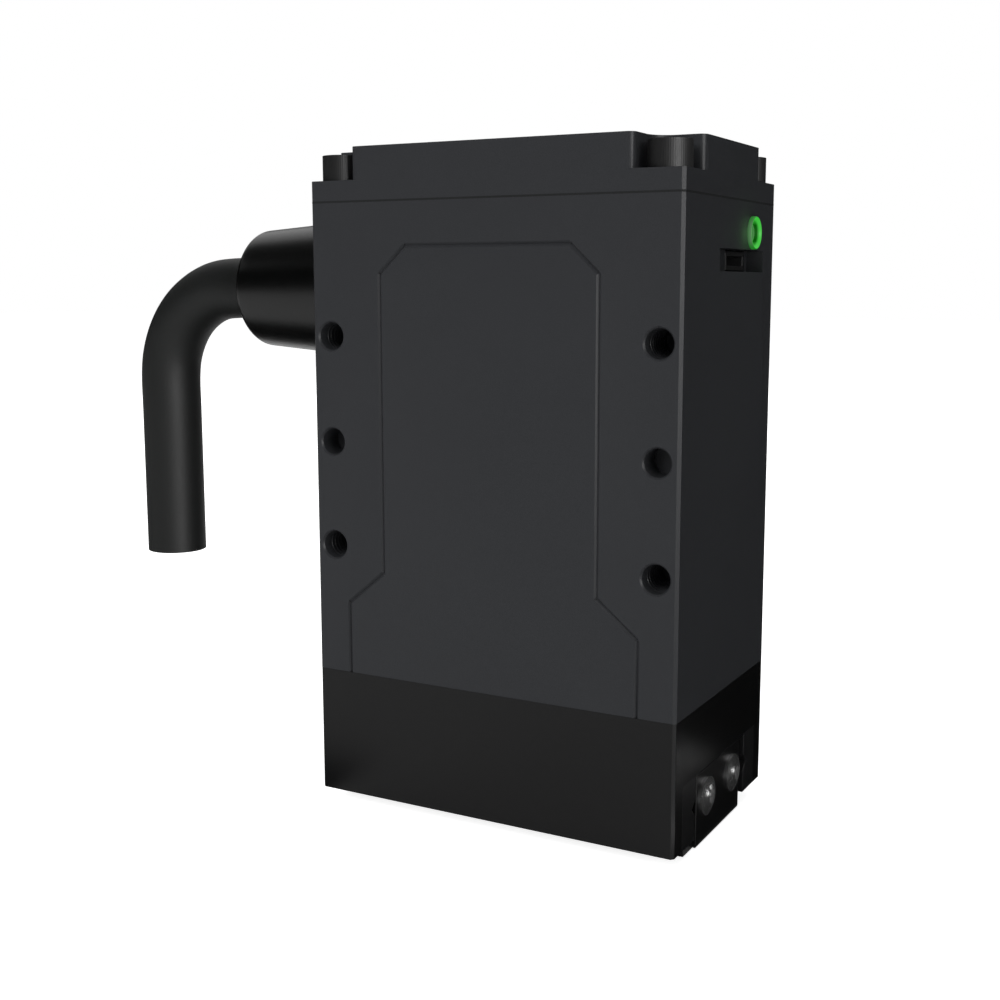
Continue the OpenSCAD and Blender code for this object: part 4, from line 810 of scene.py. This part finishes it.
def make_gasket_edge():
    """The gasket's edge, as a fine dark line between the cover and the housing."""
    half_h, past, deep = 0.15, 0.010, 0.6
    outer_cut, inner_cut = 0.45, 0.2
    bm = bmesh.new()

    def outline(out, z, cut):
        """The body's outline, `out` wider all round, with its corners cut by `cut`."""
        x, y = HALF_W + out, HALF_D + out
        points = [(x - cut, -y), (x, -y + cut), (x, y - cut), (x - cut, y),
                  (-x + cut, y), (-x, y - cut), (-x, -y + cut), (-x + cut, -y)]
        return [bm.verts.new((px * MM, py * MM, z * MM)) for px, py in points]

    loops = [outline(past, SEAM_Z - half_h, outer_cut), outline(past, SEAM_Z + half_h, outer_cut),
             outline(-deep, SEAM_Z + half_h, inner_cut), outline(-deep, SEAM_Z - half_h, inner_cut)]
    skin(bm, zip(loops, loops[1:] + loops[:1]), 8)
    obj = object_of(bm, "gasket_edge")
    scene.collection.objects.link(obj)
    obj.data.materials.append(FINISH["seam_dark"])
    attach(obj, STATIC)


make_status_light()
make_gasket_edge()

# The solids that stay as they are get their finishes
for name, obj in nodes.items():
    if not obj.hide_render:
        slot = next(s["material_slot"] for s in frame["record"]["subparts"] if s["node"] == name)
        obj.data.materials.clear()
        obj.data.materials.append(FINISH[slot])


# ---------------------------------------------------------------- floor, backdrop and light

def standing(x0, y0, x1, y1, low, high):
    """Corners of an upright rectangle over a line on the floor."""
    return [(x0, y0, low), (x1, y1, low), (x1, y1, high), (x0, y0, high)]


def lying(x0, x1, y0, y1, z):
    """Corners of a level rectangle."""
    return [(x0, y0, z), (x1, y0, z), (x1, y1, z), (x0, y1, z)]


def sheet(name, corners, mat):
    """A flat piece of the studio, in one material."""
    mesh = bpy.data.meshes.new(name)
    mesh.from_pydata([Vector(c) for c in corners], [], [range(len(corners))])
    mesh.materials.append(mat)
    obj = bpy.data.objects.new(name, mesh)
    scene.collection.objects.link(obj)
    return obj


def bare_material(name):
    """A material with no more than its output: the material, its tree and the output's socket."""
    mat = bpy.data.materials.new(name)
    mat.use_nodes = True
    mat.node_tree.nodes.clear()
    out = mat.node_tree.nodes.new("ShaderNodeOutputMaterial")
    return mat, mat.node_tree, out.inputs["Surface"]


def make_floor():
    """A pale floor. The camera sees it white, apart from the part's shadow."""
    mat, tree, surface = bare_material("pale_floor")
    rays = tree.nodes.new("ShaderNodeLightPath").outputs
    through = calc(tree, "MULTIPLY", rays["Is Transmission Ray"], 0.3)
    mirrored = calc(tree, "MULTIPLY_ADD", rays["Is Glossy Ray"], 0.1, through)
    strength = calc(tree, "MULTIPLY_ADD", rays["Is Camera Ray"], 0.8, mirrored)
    paint = add(tree, "ShaderNodeBsdfDiffuse", Color=(0.75, 0.75, 0.75, 1))
    glow = add(tree, "ShaderNodeEmission", Color=(1, 1, 1, 1), Strength=strength)
    both = tree.nodes.new("ShaderNodeAddShader")
    plug(tree, paint.outputs[0], both.inputs[0])
    plug(tree, glow.outputs[0], both.inputs[1])
    plug(tree, both.outputs[0], surface)
    floor = sheet("floor", lying(-3, 3, -3, 3, 0), mat)
    floor.location.z = -0.0002


def make_world():
    """White where it is seen or mirrored, and a soft even light elsewhere."""
    world = bpy.data.worlds.new("studio")
    world.use_nodes = True
    scene.world = world
    tree = world.node_tree
    rays = tree.nodes.new("ShaderNodeLightPath").outputs
    bounced = calc(tree, "MAXIMUM", rays["Is Glossy Ray"], rays["Is Transmission Ray"])
    seen = calc(tree, "MAXIMUM", rays["Is Camera Ray"], bounced)
    level = add(tree, "ShaderNodeMapRange")
    for label, value in (("Value", seen), ("To Min", 0.35), ("To Max", 1.0)):
        plug(tree, value, level.inputs[label])
    back = tree.nodes["Background"]
    back.inputs["Color"].default_value = (1, 1, 1, 1)
    plug(tree, level.outputs[0], back.inputs["Strength"])


def lamp(name, at, power, width, height=None, aim_z=0.05, mirrored=True):
    """A rectangular lamp, turned to a point on the body's middle line."""
    data = bpy.data.lights.new(name, "AREA")
    data.shape = "RECTANGLE"
    data.size = width
    data.size_y = height or width
    data.energy = power
    obj = bpy.data.objects.new(name, data)
    obj.location = at
    obj.rotation_euler = (Vector((0, 0, aim_z)) - Vector(at)).to_track_quat("-Z", "Y").to_euler()
    obj.visible_glossy = mirrored
    scene.collection.objects.link(obj)
    return obj


CARD_PAINTS = {}  # by their brightness


def card(name, corners, brightness=0.0):
    """A card of the studio: only what is mirrored in glossy surfaces, and it casts no shadow."""
    if brightness not in CARD_PAINTS:
        mat, tree, surface = bare_material(f"card_{brightness:g}")
        glow = add(tree, "ShaderNodeEmission", Color=(1, 1, 1, 1), Strength=brightness)
        plug(tree, glow.outputs[0], surface)
        CARD_PAINTS[brightness] = mat
    obj = sheet(name, corners, CARD_PAINTS[brightness])
    obj.visible_camera = False
    obj.visible_diffuse = False
    obj.visible_shadow = False
    obj.visible_transmission = False


make_floor()
make_world()
lamp("key_light", (-0.25, -0.85, 0.55), 7, 0.7, mirrored=False)
lamp("top_light", (0.0, 0.25, 0.95), 3, 0.7)
lamp("side_light", (0.85, -0.35, 0.25), 1.6, 0.4, aim_z=0.06, mirrored=False)
lamp("back_light", (-0.35, 0.8, 0.5), 4, 0.6, mirrored=False)
# one lamp only for the bright lines along the eased edges, and not for the faces
edge_light = lamp("edge_light", (0.74, -0.44, 0.10), 13.0, 0.26, 0.5, aim_z=0.06)
edge_light.visible_diffuse = False
# the status light's own glow on what is round it
glow = bpy.data.lights.new("status_glow", "POINT")
glow.energy = 0.00024
glow.color = (0.25, 1.0, 0.2)
glow.shadow_soft_size = 0.001
status_glow = bpy.data.objects.new("status_glow", glow)
status_glow.location = (0.0315, 0.0056, 0.0886)
status_glow.visible_glossy = False
scene.collection.objects.link(status_glow)

# Black cards stand round the set, and lie behind, to the left and to the right of the part. The
# lying ones are a painted shadow: the part's own shadow on the floor, as glossy surfaces mirror it.
FRONT, BACK, WIDE, TOP, LEVEL = -0.9, 1.2, 1.6, 1.1, 0.0001
card("dark_front", standing(-WIDE, FRONT, WIDE, FRONT, 0.02, TOP))
card("dark_above", lying(-WIDE, WIDE, FRONT, 0.25, TOP))
card("dark_back", standing(-WIDE, BACK, WIDE, BACK, 0, 0.7))
card("dark_left", standing(-WIDE, FRONT, -WIDE, BACK, 0.02, 0.9))
card("dark_right", standing(WIDE, FRONT, WIDE, BACK, 0, 1.0))
# painted shadow on the floor, to the right of and behind the part, then to its left, seen only in
# reflections
card("painted_floor_shadow", [(x, y, LEVEL) for x, y in (
    (-0.03, 0.03), (0.0298, 0.03), (0.0298, -0.0187), (WIDE, -0.45), (WIDE, BACK), (-0.03, BACK),
)])
card("painted_floor_shadow_left", lying(-0.4, -0.0305, -0.035, 0.06, LEVEL))
# Three small bright ones: two upright, each a point of light in a right end screw, and one low
for name, y in (("glint_near", 0.0044), ("glint_far", 0.0153)):
    card(name, standing(0.0444, y - 0.0007, 0.0432, y + 0.0007, 0.0033, 0.0051), 6.0)
card("glint_rim", lying(0.040, 0.045, -0.026, -0.008, 3 * LEVEL), 3.5)

scene.view_settings.view_transform = "Standard"
